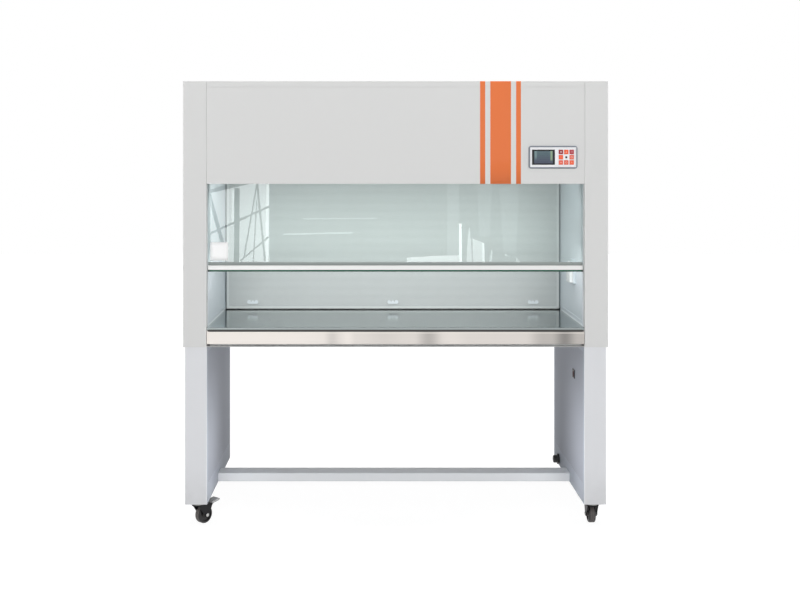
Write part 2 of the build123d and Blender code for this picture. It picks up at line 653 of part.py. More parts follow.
with BuildPart() as wing_screws:
    for stud_x in (-STUD_X, 0.0, STUD_X):
        base = (stud_x, DIFFUSER_Y - FIT, STUD_Z)
        add(rod(base, (0, 1, 0), STUD_R, HEPA_Y - DIFFUSER_Y + 5.0))
        add(rod(base, (0, -1, 0), 6.0, 9.0))
        with BuildSketch(Plane.XZ.offset(-DIFFUSER_Y + 4.0)):
            with Locations((stud_x, STUD_Z - 2.25)):
                Rectangle(2 * LOBE_X, 6.5)
            with Locations((stud_x - LOBE_X, STUD_Z + 1.5), (stud_x + LOBE_X, STUD_Z + 1.5)):
                Circle(LOBE_R)
        extrude(amount=5.0)
        with BuildSketch(Plane.XZ.offset(-DIFFUSER_Y + 9.0)):
            with Locations((stud_x - LOBE_X, STUD_Z + 1.5), (stud_x + LOBE_X, STUD_Z + 1.5)):
                Circle(LOBE_R - 2.6)
        extrude(amount=-1.8, mode=Mode.SUBTRACT)
write(wing_screws.part, "wing_screws")

# ------------------------------------------------------ the blower and prefilter
with BuildPart() as prefilter:
    with BuildSketch(Plane.XY.offset(ROOF - SEAT)):
        with Locations((0, FILTER_Y)):
            Rectangle(FILTER_L, FILTER_W)
    extrude(amount=-FILTER_T)
    with BuildSketch(Plane.XY.offset(ROOF - SEAT)):
        with Locations((0, FILTER_Y)):
            Rectangle(FILTER_L - 30, FILTER_W - 30)
    extrude(amount=-5.0, mode=Mode.SUBTRACT)
write(prefilter.part, "prefilter")

SHAFT_R = 8.0
IMPELLER_R = 90.0
IMPELLER_W = 130.0
BLADES = 20
with BuildPart() as blower_scrolls:
    for hand in (-1, 1):
        middle = hand * SCROLL_X
        start = Plane.YZ.offset(middle - SCROLL_W / 2)
        with BuildSketch(start):
            with Locations((BLOWER_Y, BLOWER_Z)):
                Circle(SCROLL_R)
            with BuildLine():
                Polyline(
                    (BLOWER_Y + SCROLL_R - OUTLET_D, DECK_Z + DECK_T + SEAT),
                    (BLOWER_Y + SCROLL_R, DECK_Z + DECK_T + SEAT),
                    (BLOWER_Y + SCROLL_R, BLOWER_Z),
                    (BLOWER_Y + SCROLL_R - OUTLET_D, BLOWER_Z),
                    close=True,
                )
            make_face()
        extrude(amount=SCROLL_W)
        start = Plane.YZ.offset(middle - SCROLL_W / 2 + SHEET)
        with BuildSketch(start):
            with Locations((BLOWER_Y, BLOWER_Z)):
                Circle(SCROLL_R - SHEET)
            with BuildLine():
                Polyline(
                    (BLOWER_Y + SCROLL_R - OUTLET_D + SHEET, DECK_Z),
                    (BLOWER_Y + SCROLL_R - SHEET, DECK_Z),
                    (BLOWER_Y + SCROLL_R - SHEET, BLOWER_Z),
                    (BLOWER_Y + SCROLL_R - OUTLET_D + SHEET, BLOWER_Z),
                    close=True,
                )
            make_face()
        extrude(amount=SCROLL_W - 2 * SHEET, mode=Mode.SUBTRACT)
        mouth = (middle - SCROLL_W, BLOWER_Y, BLOWER_Z)
        add(rod(mouth, (1, 0, 0), IMPELLER_R - 12.0, 2 * SCROLL_W), mode=Mode.SUBTRACT)
write(blower_scrolls.part, "blower_scrolls")

MOTOR_R = 62.0
MOTOR_L = 150.0
with BuildPart() as blower_motor:
    add(rod((-MOTOR_L / 2, BLOWER_Y, BLOWER_Z), (1, 0, 0), MOTOR_R, MOTOR_L))
    chamfer(blower_motor.edges().filter_by(GeomType.CIRCLE), length=8.0)
    add(block(-50.0, 50.0, BLOWER_Y - 45.0, BLOWER_Y + 45.0, DECK_Z + DECK_T + SEAT, BLOWER_Z))
    add(
        rod((-MOTOR_L, BLOWER_Y, BLOWER_Z), (1, 0, 0), SHAFT_R + FIT, 2 * MOTOR_L),
        mode=Mode.SUBTRACT,
    )
write(blower_motor.part, "blower_motor")

with BuildPart() as blower_impellers:
    reach = SCROLL_X + IMPELLER_W / 2
    add(rod((-reach, BLOWER_Y, BLOWER_Z), (1, 0, 0), SHAFT_R, 2 * reach))
    for hand in (-1, 1):
        middle = hand * SCROLL_X
        with BuildSketch(Plane.YZ.offset(middle - 1.5)):
            with Locations((BLOWER_Y, BLOWER_Z)):
                Circle(IMPELLER_R - 1.0)
        extrude(amount=3.0)
        add(rod((middle - 20.0, BLOWER_Y, BLOWER_Z), (1, 0, 0), 2 * SHAFT_R, 40.0))
        for end in (-IMPELLER_W / 2, IMPELLER_W / 2 - 3.0):
            with BuildSketch(Plane.YZ.offset(middle + end)):
                with Locations((BLOWER_Y, BLOWER_Z)):
                    Circle(IMPELLER_R)
                    Circle(IMPELLER_R - 12.0, mode=Mode.SUBTRACT)
            extrude(amount=3.0)
        with BuildSketch(Plane.YZ.offset(middle - IMPELLER_W / 2)):
            with Locations((BLOWER_Y, BLOWER_Z)):
                with PolarLocations(IMPELLER_R - 6.0, BLADES):
                    Rectangle(12.0, 1.6, rotation=25)
        extrude(amount=IMPELLER_W)
write(blower_impellers.part, "blower_impellers")

# -------------------------------------------------------------------- the sash
GLASS_T = 5.0
GLASS_IN = 34.0  # fascia's plane to the glass's face
GLASS_Y = FRONT + GLASS_IN + GLASS_T / 2
GLASS_HALF = INNER + 17.0
SASH_Z = 905.0
GLASS_H = 560.0
RAIL_T = 6.0
HANDLE_Z = SASH_Z + 8.0
HANDLE_LIP = 15.0
HANDLE_H = 26.5
HANDLE_HALF = INNER - 2.0
CABLE_X = 712.0
CABLE_R = 1.5
PULLEY_R = 25.0
PULLEY_Z = 1540.0
PULLEY_Y = GLASS_Y + PULLEY_R
LUG_Z = 1370.0
LUG_H = 20.0
WEIGHT_TOP = 1280.0
WEIGHT_H = 310.0
WEIGHT_X = 44.0
WEIGHT_Y = 52.0

with BuildPart() as sash_glass:
    add(block(-GLASS_HALF, GLASS_HALF, GLASS_Y - GLASS_T / 2, GLASS_Y + GLASS_T / 2, SASH_Z, SASH_Z + GLASS_H))
    chamfer(sash_glass.edges().filter_by(Axis.X), length=0.6)
write(sash_glass.part, "sash_glass")

with BuildPart() as sash_handle:
    back = GLASS_Y - GLASS_T / 2 - FIT
    with BuildSketch(Plane.YZ.offset(-HANDLE_HALF)):
        with BuildLine():
            Polyline(
                (back, HANDLE_Z),
                (back - 13.0, HANDLE_Z),
                (back - 13.0, HANDLE_Z + HANDLE_LIP),
                (back - 11.0, HANDLE_Z + HANDLE_LIP),
                (back - 11.0, HANDLE_Z + 5.0),
                (back - 3.0, HANDLE_Z + 5.0),
                (back - 3.0, HANDLE_Z + HANDLE_H),
                (back, HANDLE_Z + HANDLE_H),
                close=True,
            )
        make_face()
    extrude(amount=2 * HANDLE_HALF)
    for hand in (-1, 1):
        end = hand * HANDLE_HALF
        add(block(end - hand * 3.0, end, back - 13.0, back, HANDLE_Z, HANDLE_Z + HANDLE_LIP))
    # Lugs clamp the glass's edges inside the pillars and take the cables.
    slot = GLASS_T / 2 + FIT
    for hand in (-1, 1):
        near, far = hand * (INNER + 9.0), hand * (CABLE_X + 8.0)
        add(block(near, far, GLASS_Y - 6.5, GLASS_Y + 6.5, LUG_Z, LUG_Z + LUG_H))
        edge = hand * (GLASS_HALF + SEAT)
        cut = block(hand * INNER, edge, GLASS_Y - slot, GLASS_Y + slot, LUG_Z - 1, LUG_Z + LUG_H + 1)
        add(cut, mode=Mode.SUBTRACT)
write(sash_handle.part, "sash_handle")

with BuildPart() as sash_guides:
    for hand in (-1, 1):
        strip = hand * INNER, hand * (INNER + RAIL_T)
        near = GLASS_Y - GLASS_T / 2 - FREE
        add(block(*strip, FRONT + RETURN + SEAT, near, PAN_TOP + SEAT, ROOF - SEAT))
        far = GLASS_Y + GLASS_T / 2 + FREE
        add(block(*strip, far, FRONT + GUIDE_END - SEAT, PAN_TOP + SEAT, ROOF - SEAT))
write(sash_guides.part, "sash_guides")

with BuildPart() as sash_weights:
    for hand in (-1, 1):
        with BuildSketch(Plane.XY.offset(WEIGHT_TOP - WEIGHT_H)):
            with Locations((hand * CABLE_X, PULLEY_Y + PULLEY_R)):
                RectangleRounded(WEIGHT_X, WEIGHT_Y, 4.0)
        extrude(amount=WEIGHT_H)
write(sash_weights.part, "sash_weights")

for label, low, at_y in (
    ("sash_front_cables", LUG_Z + LUG_H, GLASS_Y),
    ("sash_rear_cables", WEIGHT_TOP, PULLEY_Y + PULLEY_R),
):
    with BuildPart() as cables:
        for hand in (-1, 1):
            add(rod((hand * CABLE_X, at_y, low), (0, 0, 1), CABLE_R, PULLEY_Z - low))
    write(cables.part, label)

PULLEY_SHAFT_R = 6.0
PULLEY_W = 12.0
with BuildPart() as pulley_shaft:
    reach = HALF - 6.0
    add(rod((-reach, PULLEY_Y, PULLEY_Z), (1, 0, 0), PULLEY_SHAFT_R, 2 * reach))
    for hand in (-1, 1):
        with BuildSketch(Plane.XY):
            with BuildLine():
                Polyline(
                    (hand * CABLE_X - PULLEY_W / 2, 0),
                    (hand * CABLE_X - PULLEY_W / 2, PULLEY_R + 3.0),
                    (hand * CABLE_X - PULLEY_W / 2 + 2.0, PULLEY_R + 3.0),
                    (hand * CABLE_X - CABLE_R, PULLEY_R - CABLE_R - SEAT),
                    (hand * CABLE_X + CABLE_R, PULLEY_R - CABLE_R - SEAT),
                    (hand * CABLE_X + PULLEY_W / 2 - 2.0, PULLEY_R + 3.0),
                    (hand * CABLE_X + PULLEY_W / 2, PULLEY_R + 3.0),
                    (hand * CABLE_X + PULLEY_W / 2, 0),
                    close=True,
                )
            make_face()
        disc = revolve(axis=Axis.X, mode=Mode.PRIVATE)
        add(disc.moved(Location((0, PULLEY_Y, PULLEY_Z))))
write(pulley_shaft.part, "pulley_shaft")

with BuildPart() as shaft_brackets:
    for hand in (-1, 1):
        outer = HALF - SHEET - SEAT
        add(block(hand * (outer - 20.0), hand * outer, PULLEY_Y - 16.0, PULLEY_Y + 16.0, PULLEY_Z - 16.0, PULLEY_Z + 16.0))
    add(
        rod((-HALF, PULLEY_Y, PULLEY_Z), (1, 0, 0), PULLEY_SHAFT_R + FIT, WIDTH),
        mode=Mode.SUBTRACT,
    )
write(shaft_brackets.part, "shaft_brackets")

# ------------------------------------------------------------ the control panel
FACE_IN = 1.5  # overlay's face behind the bezel's
OVERLAY_T = 3.0
LEDGE = 3.0
KEY = 15.2
KEY_PROUD = 1.2
KEY_FLANGE_T = 1.2
BOARD_T = 1.6
DISPLAY_L = 80.5
DISPLAY_H = 53.5
DISPLAY_X = 520.5
KEY_COLS = (581.9, 600.9, 619.9)
KEY_ROWS = (1330.5, 1312.0, 1293.5)
KEY_NAMES = {
    (0, 0): "fan_key",
    (1, 0): "lamp_key",
    (2, 0): "uv_key",
    (0, 1): "menu_key",
    (2, 1): "socket_key",
    (0, 2): "minus_key",
    (1, 2): "set_key",
    (2, 2): "plus_key",
}
FACE = FRONT - BEZEL_PROUD
OVERLAY_Y = FACE + FACE_IN
LEDGE_Y = OVERLAY_Y + OVERLAY_T
BOARD_Y = FRONT + 1.0

with BuildPart() as control_bezel:
    with BuildSketch(Plane.XZ.offset(-FRONT + FIT)):
        with Locations((PANEL_X, PANEL_Z)):
            RectangleRounded(BEZEL_L, BEZEL_H, BEZEL_R)
    extrude(amount=BEZEL_PROUD - FIT)
    fillet(control_bezel.faces().sort_by(Axis.Y)[0].edges(), radius=3.0)
    with BuildSketch(Plane.XZ.offset(-FACE)):
        with Locations((PANEL_X, PANEL_Z)):
            RectangleRounded(BEZEL_L - 2 * BEZEL_RIM, BEZEL_H - 2 * BEZEL_RIM, 3.0)
    extrude(amount=-(LEDGE_Y - FACE), mode=Mode.SUBTRACT)
    with BuildSketch(Plane.XZ.offset(-FACE)):
        with Locations((PANEL_X, PANEL_Z)):
            Rectangle(BEZEL_L - 2 * BEZEL_RIM - 2 * LEDGE, BEZEL_H - 2 * BEZEL_RIM - 2 * LEDGE)
    extrude(amount=-BEZEL_PROUD, mode=Mode.SUBTRACT)
write(control_bezel.part, "control_bezel")

with BuildPart() as keypad_overlay:
    with BuildSketch(Plane.XZ.offset(-LEDGE_Y + FIT)):
        with Locations((PANEL_X, PANEL_Z)):
            inside = BEZEL_L - 2 * BEZEL_RIM - 2 * SEAT, BEZEL_H - 2 * BEZEL_RIM - 2 * SEAT
            RectangleRounded(*inside, 3.0 - SEAT)
        with Locations((DISPLAY_X, PANEL_Z)):
            Rectangle(DISPLAY_L + 2 * FIT, DISPLAY_H + 2 * FIT, mode=Mode.SUBTRACT)
        for col, row in KEY_NAMES:
            with Locations((KEY_COLS[col], KEY_ROWS[row])):
                Rectangle(KEY + 2 * FREE, KEY + 2 * FREE, mode=Mode.SUBTRACT)
    extrude(amount=OVERLAY_T - FIT)
    # Receiver eye in the middle cell, and posts that stand on the board.
    add(rod((KEY_COLS[1], OVERLAY_Y + 1, KEY_ROWS[1]), (0, -1, 0), 2.6, 1.6))
    for post_z in (PANEL_Z - 24.0, PANEL_Z, PANEL_Z + 24.0):
        post = (DISPLAY_X + DISPLAY_L / 2 + 6.0, LEDGE_Y - 1, post_z)
        add(rod(post, (0, 1, 0), 1.8, BOARD_Y - LEDGE_Y + 1 - SEAT))
write(keypad_overlay.part, "keypad_overlay")

with BuildPart() as display_window:
    with BuildSketch(Plane.XZ.offset(-OVERLAY_Y + 0.3)):
        with Locations((DISPLAY_X, PANEL_Z)):
            Rectangle(DISPLAY_L, DISPLAY_H)
    extrude(amount=-2.4)
write(display_window.part, "display_window")

for (col, row), name in KEY_NAMES.items():
    with BuildPart() as key:
        with BuildSketch(Plane.XZ.offset(-LEDGE_Y)):
            with Locations((KEY_COLS[col], KEY_ROWS[row])):
                RectangleRounded(KEY, KEY, 1.5)
        extrude(amount=OVERLAY_T + KEY_PROUD)
        fillet(key.faces().sort_by(Axis.Y)[0].edges(), radius=0.6)
        with BuildSketch(Plane.XZ.offset(-LEDGE_Y - SEAT)):
            with Locations((KEY_COLS[col], KEY_ROWS[row])):
                Rectangle(KEY + 2.2, KEY + 2.2)
        extrude(amount=-KEY_FLANGE_T)
        with BuildSketch(Plane.XZ.offset(-LEDGE_Y - SEAT)):
            with Locations((KEY_COLS[col], KEY_ROWS[row])):
                Rectangle(KEY - 2, KEY - 2)
        extrude(amount=SEAT)
    write(key.part, name)

with BuildPart() as control_board:
    with BuildSketch(Plane.XZ.offset(-BOARD_Y)):
        with Locations((PANEL_X, PANEL_Z)):
            Rectangle(BEZEL_L - 2 * BEZEL_RIM - 2, BEZEL_H - 2 * BEZEL_RIM - 2)
    extrude(amount=-BOARD_T)
    with BuildSketch(Plane.XZ.offset(-BOARD_Y)):
        with Locations((DISPLAY_X, PANEL_Z)):
            Rectangle(DISPLAY_L - 16, DISPLAY_H - 12)
    extrude(amount=BOARD_Y - OVERLAY_Y + 0.3 - 2.4 - SEAT)
    for chip in (-40.0, 10.0, 50.0):
        add(block(PANEL_X + chip - 9, PANEL_X + chip + 9, BOARD_Y + BOARD_T / 2, BOARD_Y + 8.0, PANEL_Z - 8, PANEL_Z + 8))
write(control_board.part, "control_board")

# -------------------------------------------------------------------- the lamps
TUBE_R = 8.0
TUBE_HALF = 450.0
TUBE_Z = 1232.0
TUBE_YS = (FRONT + 120.0, FRONT + 175.0)
with BuildPart() as lamp_tubes:
    for tube_y in TUBE_YS:
        add(rod((-TUBE_HALF + SEAT, tube_y, TUBE_Z), (1, 0, 0), TUBE_R, 2 * TUBE_HALF - 2 * SEAT))
write(lamp_tubes.part, "lamp_tubes")

with BuildPart() as lamp_holders:
    for tube_y in TUBE_YS:
        for hand in (-1, 1):
            near = hand * TUBE_HALF
            add(block(near, near + hand * 15.0, tube_y - 12.0, tube_y + 12.0, TUBE_Z - 11.0, CEILING_Z - SEAT))
write(lamp_holders.part, "lamp_holders")

# ------------------------------------------------------- the splash-proof socket
SOCKET_Y = FRONT + 214.0
SOCKET_Z = 890.0
SOCKET = 86.0
SOCKET_T = 9.0
FLAP_L = 70.0
FLAP_H = 66.0
FLAP_T = 12.0
PIN_R = 1.5
PIN_X = INNER - SOCKET_T - 6.0
PIN_Z = SOCKET_Z + 33.0
BARREL_R = 4.0
BARREL_L = 40.0
EAR_T = 3.5
PLATE_FACE = INNER - SOCKET_T

with BuildPart() as socket_plate:
    with BuildSketch(Plane.YZ.offset(INNER - FIT)):
        with Locations((SOCKET_Y, SOCKET_Z)):
            RectangleRounded(SOCKET, SOCKET, 4.0)
    extrude(amount=-(SOCKET_T - FIT))
    fillet(socket_plate.faces().sort_by(Axis.X)[0].edges(), radius=2.0)
    with BuildSketch(Plane.YZ.offset(PLATE_FACE)):
        with Locations((SOCKET_Y, SOCKET_Z - 4.0)):
            Circle(22.0)
    extrude(amount=3.0, mode=Mode.SUBTRACT)
    with BuildSketch(Plane.YZ.offset(PLATE_FACE)):
        with Locations((SOCKET_Y - 7.0, SOCKET_Z - 8.0), (SOCKET_Y + 7.0, SOCKET_Z - 8.0)):
            Rectangle(2.2, 7.0)
        with Locations((SOCKET_Y, SOCKET_Z + 4.0)):
            Rectangle(2.2, 7.0)
    extrude(amount=7.0, mode=Mode.SUBTRACT)
    for hand in (-1, 1):
        near = SOCKET_Y + hand * (BARREL_L / 2 + FREE)
        far = SOCKET_Y + hand * (BARREL_L / 2 + FREE + EAR_T)
        add(block(PIN_X - BARREL_R, PLATE_FACE + 1, near, far, PIN_Z - BARREL_R, PIN_Z + BARREL_R))
    reach = BARREL_L / 2 + FREE + EAR_T
    add(rod((PIN_X, SOCKET_Y - reach, PIN_Z), (0, 1, 0), PIN_R, 2 * reach))
write(socket_plate.part, "socket_plate")

with BuildPart() as socket_flap:
    near, far = PLATE_FACE - 0.5, PLATE_FACE - 0.5 - FLAP_T
    top = PIN_Z - BARREL_R - 3.0
    low = top - FLAP_H
    add(block(near, far, SOCKET_Y - FLAP_L / 2, SOCKET_Y + FLAP_L / 2, low, top))
    fillet(socket_flap.edges().filter_by(Axis.X), radius=4.0)
    fillet(socket_flap.faces().sort_by(Axis.X)[0].edges(), radius=2.0)
    wall = 1.8
    add(
        block(near + 1, far + wall, SOCKET_Y - FLAP_L / 2 + wall, SOCKET_Y + FLAP_L / 2 - wall,
              low + wall, top - wall),
        mode=Mode.SUBTRACT,
    )
    add(block(PIN_X - 2.0, PIN_X + 2.0, SOCKET_Y - BARREL_L / 2, SOCKET_Y + BARREL_L / 2, top - 1, PIN_Z))
    add(rod((PIN_X, SOCKET_Y - BARREL_L / 2, PIN_Z), (0, 1, 0), BARREL_R - FREE, BARREL_L))
    add(
        rod((PIN_X, SOCKET_Y - BARREL_L, PIN_Z), (0, 1, 0), PIN_R + FIT, 2 * BARREL_L),
        mode=Mode.SUBTRACT,
    )
write(socket_flap.part, "socket_flap")
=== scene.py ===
import logging
import math
from dataclasses import dataclass
from enum import Enum
from typing import Any, Callable, Sequence

import bpy
import numpy as np
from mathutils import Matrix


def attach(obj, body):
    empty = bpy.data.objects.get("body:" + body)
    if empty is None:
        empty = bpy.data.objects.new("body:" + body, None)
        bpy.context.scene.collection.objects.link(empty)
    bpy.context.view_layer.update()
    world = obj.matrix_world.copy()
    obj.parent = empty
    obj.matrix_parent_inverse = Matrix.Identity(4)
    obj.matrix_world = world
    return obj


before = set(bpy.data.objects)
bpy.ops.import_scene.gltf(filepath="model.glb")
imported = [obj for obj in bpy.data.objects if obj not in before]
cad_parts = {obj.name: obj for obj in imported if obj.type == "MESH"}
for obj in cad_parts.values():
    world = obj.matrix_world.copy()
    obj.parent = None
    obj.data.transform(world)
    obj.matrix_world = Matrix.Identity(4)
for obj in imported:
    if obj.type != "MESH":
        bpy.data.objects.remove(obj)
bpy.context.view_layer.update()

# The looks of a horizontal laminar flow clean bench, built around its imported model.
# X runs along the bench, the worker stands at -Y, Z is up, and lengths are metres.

LOG = logging.getLogger("clean_bench")
FRONT = -0.352  # plane of the fascia
REAR = 0.360
ROOF = 1.580
FASCIA_Z = 1.218
WORKTOP_Z = 0.711
INNER = 0.667  # half of the clear opening
DIFFUSER_Y = FRONT + 0.500
GLASS_FACE = FRONT + 0.034
SASH_Z = 0.905  # lower edge of the glass
EYE = (-0.086, FRONT - 3.895, 1.274)  # where the camera stands

Colour = tuple[float, float, float]
Pair = tuple[float, float]
Point = tuple[float, float, float]
Mesh = tuple[np.ndarray, np.ndarray]
Surface = tuple[np.ndarray, np.ndarray, np.ndarray]


def paint(red: int, green: int, blue: int) -> Colour:
    """A colour given as it looks on a screen, as linear light.

    Args:
        red: Screen red, 0 to 255.
        green: Screen green.
        blue: Screen blue.

    Returns:
        The linear colour.
    """
    parts = []
    for value in (red, green, blue):
        share = value / 255.0
        low = share / 12.92
        parts.append(low if share <= 0.04045 else ((share + 0.055) / 1.055) ** 2.4)
    return (parts[0], parts[1], parts[2])


# ------------------------------------------------------------------ shader maths
def operator(kind: str, number_first: bool = False) -> Callable[..., "Value"]:
    """A method of Value that adds one Math node.

    Args:
        kind: Blender's name for the node's operation.
        number_first: True where the other value stands before this one.

    Returns:
        The method; comparisons give 1 where they hold and else 0.
    """

    def method(this: "Value", other: Any = 0.0) -> "Value":
        """Adds the node and gives what it makes."""
        first, second = (other, this) if number_first else (this, other)
        return this.graph.node("Math", {0: first, 1: second}, {"operation": kind})

    return method


class Value:
    """A shader value: Python's operators on it add Math nodes to its tree."""

    def __init__(self, graph: "Graph", socket: bpy.types.NodeSocket) -> None:
        """Keeps the tree and the socket that gives the value."""
        self.graph = graph
        self.socket = socket

    __add__ = __radd__ = operator("ADD")
    __sub__ = operator("SUBTRACT")
    __rsub__ = operator("SUBTRACT", number_first=True)
    __mul__ = __rmul__ = operator("MULTIPLY")
    __truediv__ = operator("DIVIDE")
    __lt__ = operator("LESS_THAN")
    __gt__ = operator("GREATER_THAN")
    __abs__ = operator("ABSOLUTE")
    fraction = operator("FRACT")
    whole = operator("FLOOR")
    root = operator("SQRT")
    larger = operator("MAXIMUM")

    def ease(self, low: float, high: float) -> "Value":
        """0 below low and 1 above high, with a smooth climb between.

        Args:
            low: Where the climb starts.
            high: Where it ends; it may be under low for a fall.

        Returns:
            The eased value.
        """
        settings = {"interpolation_type": "SMOOTHSTEP"}
        return self.graph.node("MapRange", {0: self, 1: low, 2: high}, settings)


class Graph:
    """The nodes of one material or world, with one way to add any of them."""

    def __init__(self, owner: bpy.types.Material | bpy.types.World) -> None:
        """Starts the material or world with no nodes."""
        self.owner = owner
        self.owner.use_nodes = True
        self.tree = self.owner.node_tree
        self.tree.nodes.clear()

    def node(
        self,
        kind: str,
        inputs: dict[Any, Any] | None = None,
        settings: dict[str, Any] | None = None,
        output: Any = 0,
    ) -> Value:
        """Adds a node.

        Args:
            kind: Blender's name for the node's type, after ShaderNode.
            inputs: What each input socket takes, a number, a colour or a Value.
            settings: The node's own settings, set before its inputs.
            output: Which output to return.

        Returns:
            The chosen output.
        """
        made = self.tree.nodes.new(f"ShaderNode{kind}")
        for key, value in (settings or {}).items():
            setattr(made, key, value)
        for key, value in (inputs or {}).items():
            target = made.inputs[key]
            if isinstance(value, Value):
                self.tree.links.new(value.socket, target)
            elif target.type == "RGBA":
                target.default_value = (*value[:3], 1.0)
            else:
                target.default_value = value
        return Value(self, made.outputs[output])

    def place(self) -> Value:
        """The point on the object, in the bench's frame."""
        return self.node("TexCoord", output="Object")

    def split(self, vector: Value) -> tuple[Value, Value, Value]:
        """A vector's X, Y and Z."""
        outputs = self.node("SeparateXYZ", {0: vector}).socket.node.outputs
        return Value(self, outputs[0]), Value(self, outputs[1]), Value(self, outputs[2])

    def axes(self) -> tuple[Value, Value, Value]:
        """The X, Y and Z of the point on the object."""
        return self.split(self.place())

    def facing(self, axis: int) -> Value:
        """How far the surface faces along an axis, from -1 to 1."""
        return self.split(self.node("NewGeometry", output="Normal"))[axis]

    def noise(self, scale: float, stretch: Point = (1, 1, 1), detail: float = 2.0) -> Value:
        """Cloudy noise between 0 and 1.

        Args:
            scale: Clouds in a metre.
            stretch: How much denser they are along each axis.
            detail: Number of finer layers.

        Returns:
            The noise.
        """
        at = self.node("Mapping", {"Vector": self.place(), "Scale": stretch})
        return self.node("TexNoise", {"Vector": at, "Scale": scale, "Detail": detail})

    def blend(self, share: Any, first: Any, second: Any, mode: str = "MIX") -> Value:
        """A mix of two colours."""
        settings = {"data_type": "RGBA", "blend_type": mode}
        return self.node("Mix", {0: share, 6: first, 7: second}, settings, output=2)

    def shade(self, colour: Any, by: Value) -> Value:
        """A colour made lighter or darker by a value about 1."""
        grey = self.node("CombineColor", {0: by, 1: by, 2: by})
        return self.blend(1.0, colour, grey, "MULTIPLY")

    def bump(self, height: Value, depth: float, strength: float = 1.0) -> Value:
        """A normal for a height between 0 and 1, depth metres deep."""
        return self.node("Bump", {"Strength": strength, "Distance": depth, "Height": height})

    def surface(self, tone: Value, **inputs: Any) -> Value:
        """A Principled surface; underscores in the names stand for spaces."""
        named = {key.replace("_", " "): value for key, value in inputs.items()}
        return self.node("BsdfPrincipled", {"Base Color": tone} | named)

    def seen(self) -> Value:
        """1 for rays that show a thing straight, mirrored or through glass, else 0."""
        straight, mirrored, through = (
            self.node("LightPath", output=f"Is {kind} Ray")
            for kind in ("Camera", "Glossy", "Transmission")
        )
        return straight.larger(mirrored).larger(through)

    def finish(self, shader: Value) -> Any:
        """Connects the shader and gives the finished material or world."""
        kind = "World" if isinstance(self.owner, bpy.types.World) else "Material"
        out = self.tree.nodes.new(f"ShaderNodeOutput{kind}")
        self.tree.links.new(shader.socket, out.inputs["Surface"])
        return self.owner


# ----------------------------------------------------------------------- finishes
@dataclass(frozen=True)
class Finish:
    """A named finish; each kind gives its own shader."""

    name: str

    def shader(self, g: Graph) -> Value:
        """The shader, made of nodes in the graph."""
        raise NotImplementedError

    def material(self) -> bpy.types.Material:
        """Builds a material of that name."""
        g = Graph(bpy.data.materials.new(self.name))
        return g.finish(self.shader(g))


@dataclass(frozen=True)
class PowderCoat(Finish):
    """Sprayed and baked coat: fine orange peel, faint clouds, darker and browner towards the
    floor, and painted shade on faces turned to the bench's middle.
    """

    colour: Colour
    rough: float = 0.58
    shine: float = 0.22
    floor_darkening: float = 0.0
    floor_darkening_top: float = 0.1
    # painted shade: a darker colour for faces turned towards the bench's middle
    painted_shade_inward: Colour | None = None
    painted_shade_past: float = -0.6  # how far a face is turned, times its place along X

    def shader(self, g: Graph) -> Value:
        """Builds the coat; faces that look at the bench's middle take a darker colour as painted
        shade.
        """
        peel = g.noise(900.0)
        cloud = g.noise(2.2, detail=3.0)
        base = self.colour
        if self.painted_shade_inward:
            x, _, _ = g.axes()
            base = g.blend(g.facing(0) * x < self.painted_shade_past, self.colour, self.painted_shade_inward)
        tone = g.shade(base, 0.985 + 0.03 * cloud)
        # darker and browner towards the floor, in cloudy patches
        if self.floor_darkening:
            _, _, z = g.axes()
            low = z.ease(self.floor_darkening_top, 0.0) * self.floor_darkening * (0.4 + g.noise(30.0))
            tone = g.blend(low, tone, paint(120, 114, 106))
        rough = self.rough + 0.08 * (cloud - 0.5)
        normal = g.bump(peel, 0.00012, 0.25)
        return g.surface(tone, Roughness=rough, Specular_IOR_Level=self.shine, Normal=normal)


@dataclass(frozen=True)
class Liner(Finish):
    """Smooth blue-grey wall coat, with a paler line along the foot of each wall."""

    colour: Colour
    foot_line: Colour
    foot_line_top: float = WORKTOP_Z + 0.0070

    def shader(self, g: Graph) -> Value:
        """Builds the coat."""
        _, _, z = g.axes()
        cloud = g.noise(3.0)
        tone = g.shade(self.colour, 0.97 + 0.06 * cloud)
        # a paler line along the foot of each wall
        foot = (z < self.foot_line_top) * (z > WORKTOP_Z)
        tone = g.blend(foot, tone, self.foot_line)
        peel = g.bump(g.noise(700.0), 0.0001, 0.2)
        return g.surface(tone, Roughness=0.3 + 0.1 * cloud, Normal=peel)


@dataclass(frozen=True)
class Perforated(Finish):
    """Coated sheet with rows of small staggered holes that stop short of its edges."""

    colour: Colour
    pitch: float = 0.0045
    hole: float = 0.0013
    low: float = 0.725  # the holes' field, from low to high and half to each side
    high: float = 1.240
    half: float = 0.652

    def shader(self, g: Graph) -> Value:
        """Builds the sheet.

        The holes sit on a grid whose odd rows are half a pitch along; a point is in
        one when its distance to the nearest centre is under the hole's radius.
        """
        x, _, z = g.axes()
        row = (z / self.pitch).whole()
        odd = (row * 0.5).fraction()
        across = ((x / self.pitch + odd).fraction() - 0.5) * self.pitch
        along = ((z / self.pitch).fraction() - 0.5) * self.pitch
        apart = (across * across + along * along).root()
        inside = (abs(x) < self.half) * (z > self.low) * (z < self.high)
        front = g.facing(1) < -0.5
        hole = apart.ease(self.hole * 1.15, self.hole * 0.85) * inside * front
        cloud = g.noise(2.5, (1.0, 1.0, 1.6))
        streak = g.noise(40.0, (0.05, 1.0, 1.0))
        tone = g.shade(self.colour, 0.96 + 0.06 * cloud + 0.01 * streak)
        # painted shade: the holes' dark tone stands for the shade seen through them
        tone = g.blend(hole * 0.72, tone, paint(70, 80, 82))
        normal = g.bump(1.0 - hole, 0.0006, 0.5)
        return g.surface(tone, Roughness=0.42 + 0.3 * hole, Normal=normal)


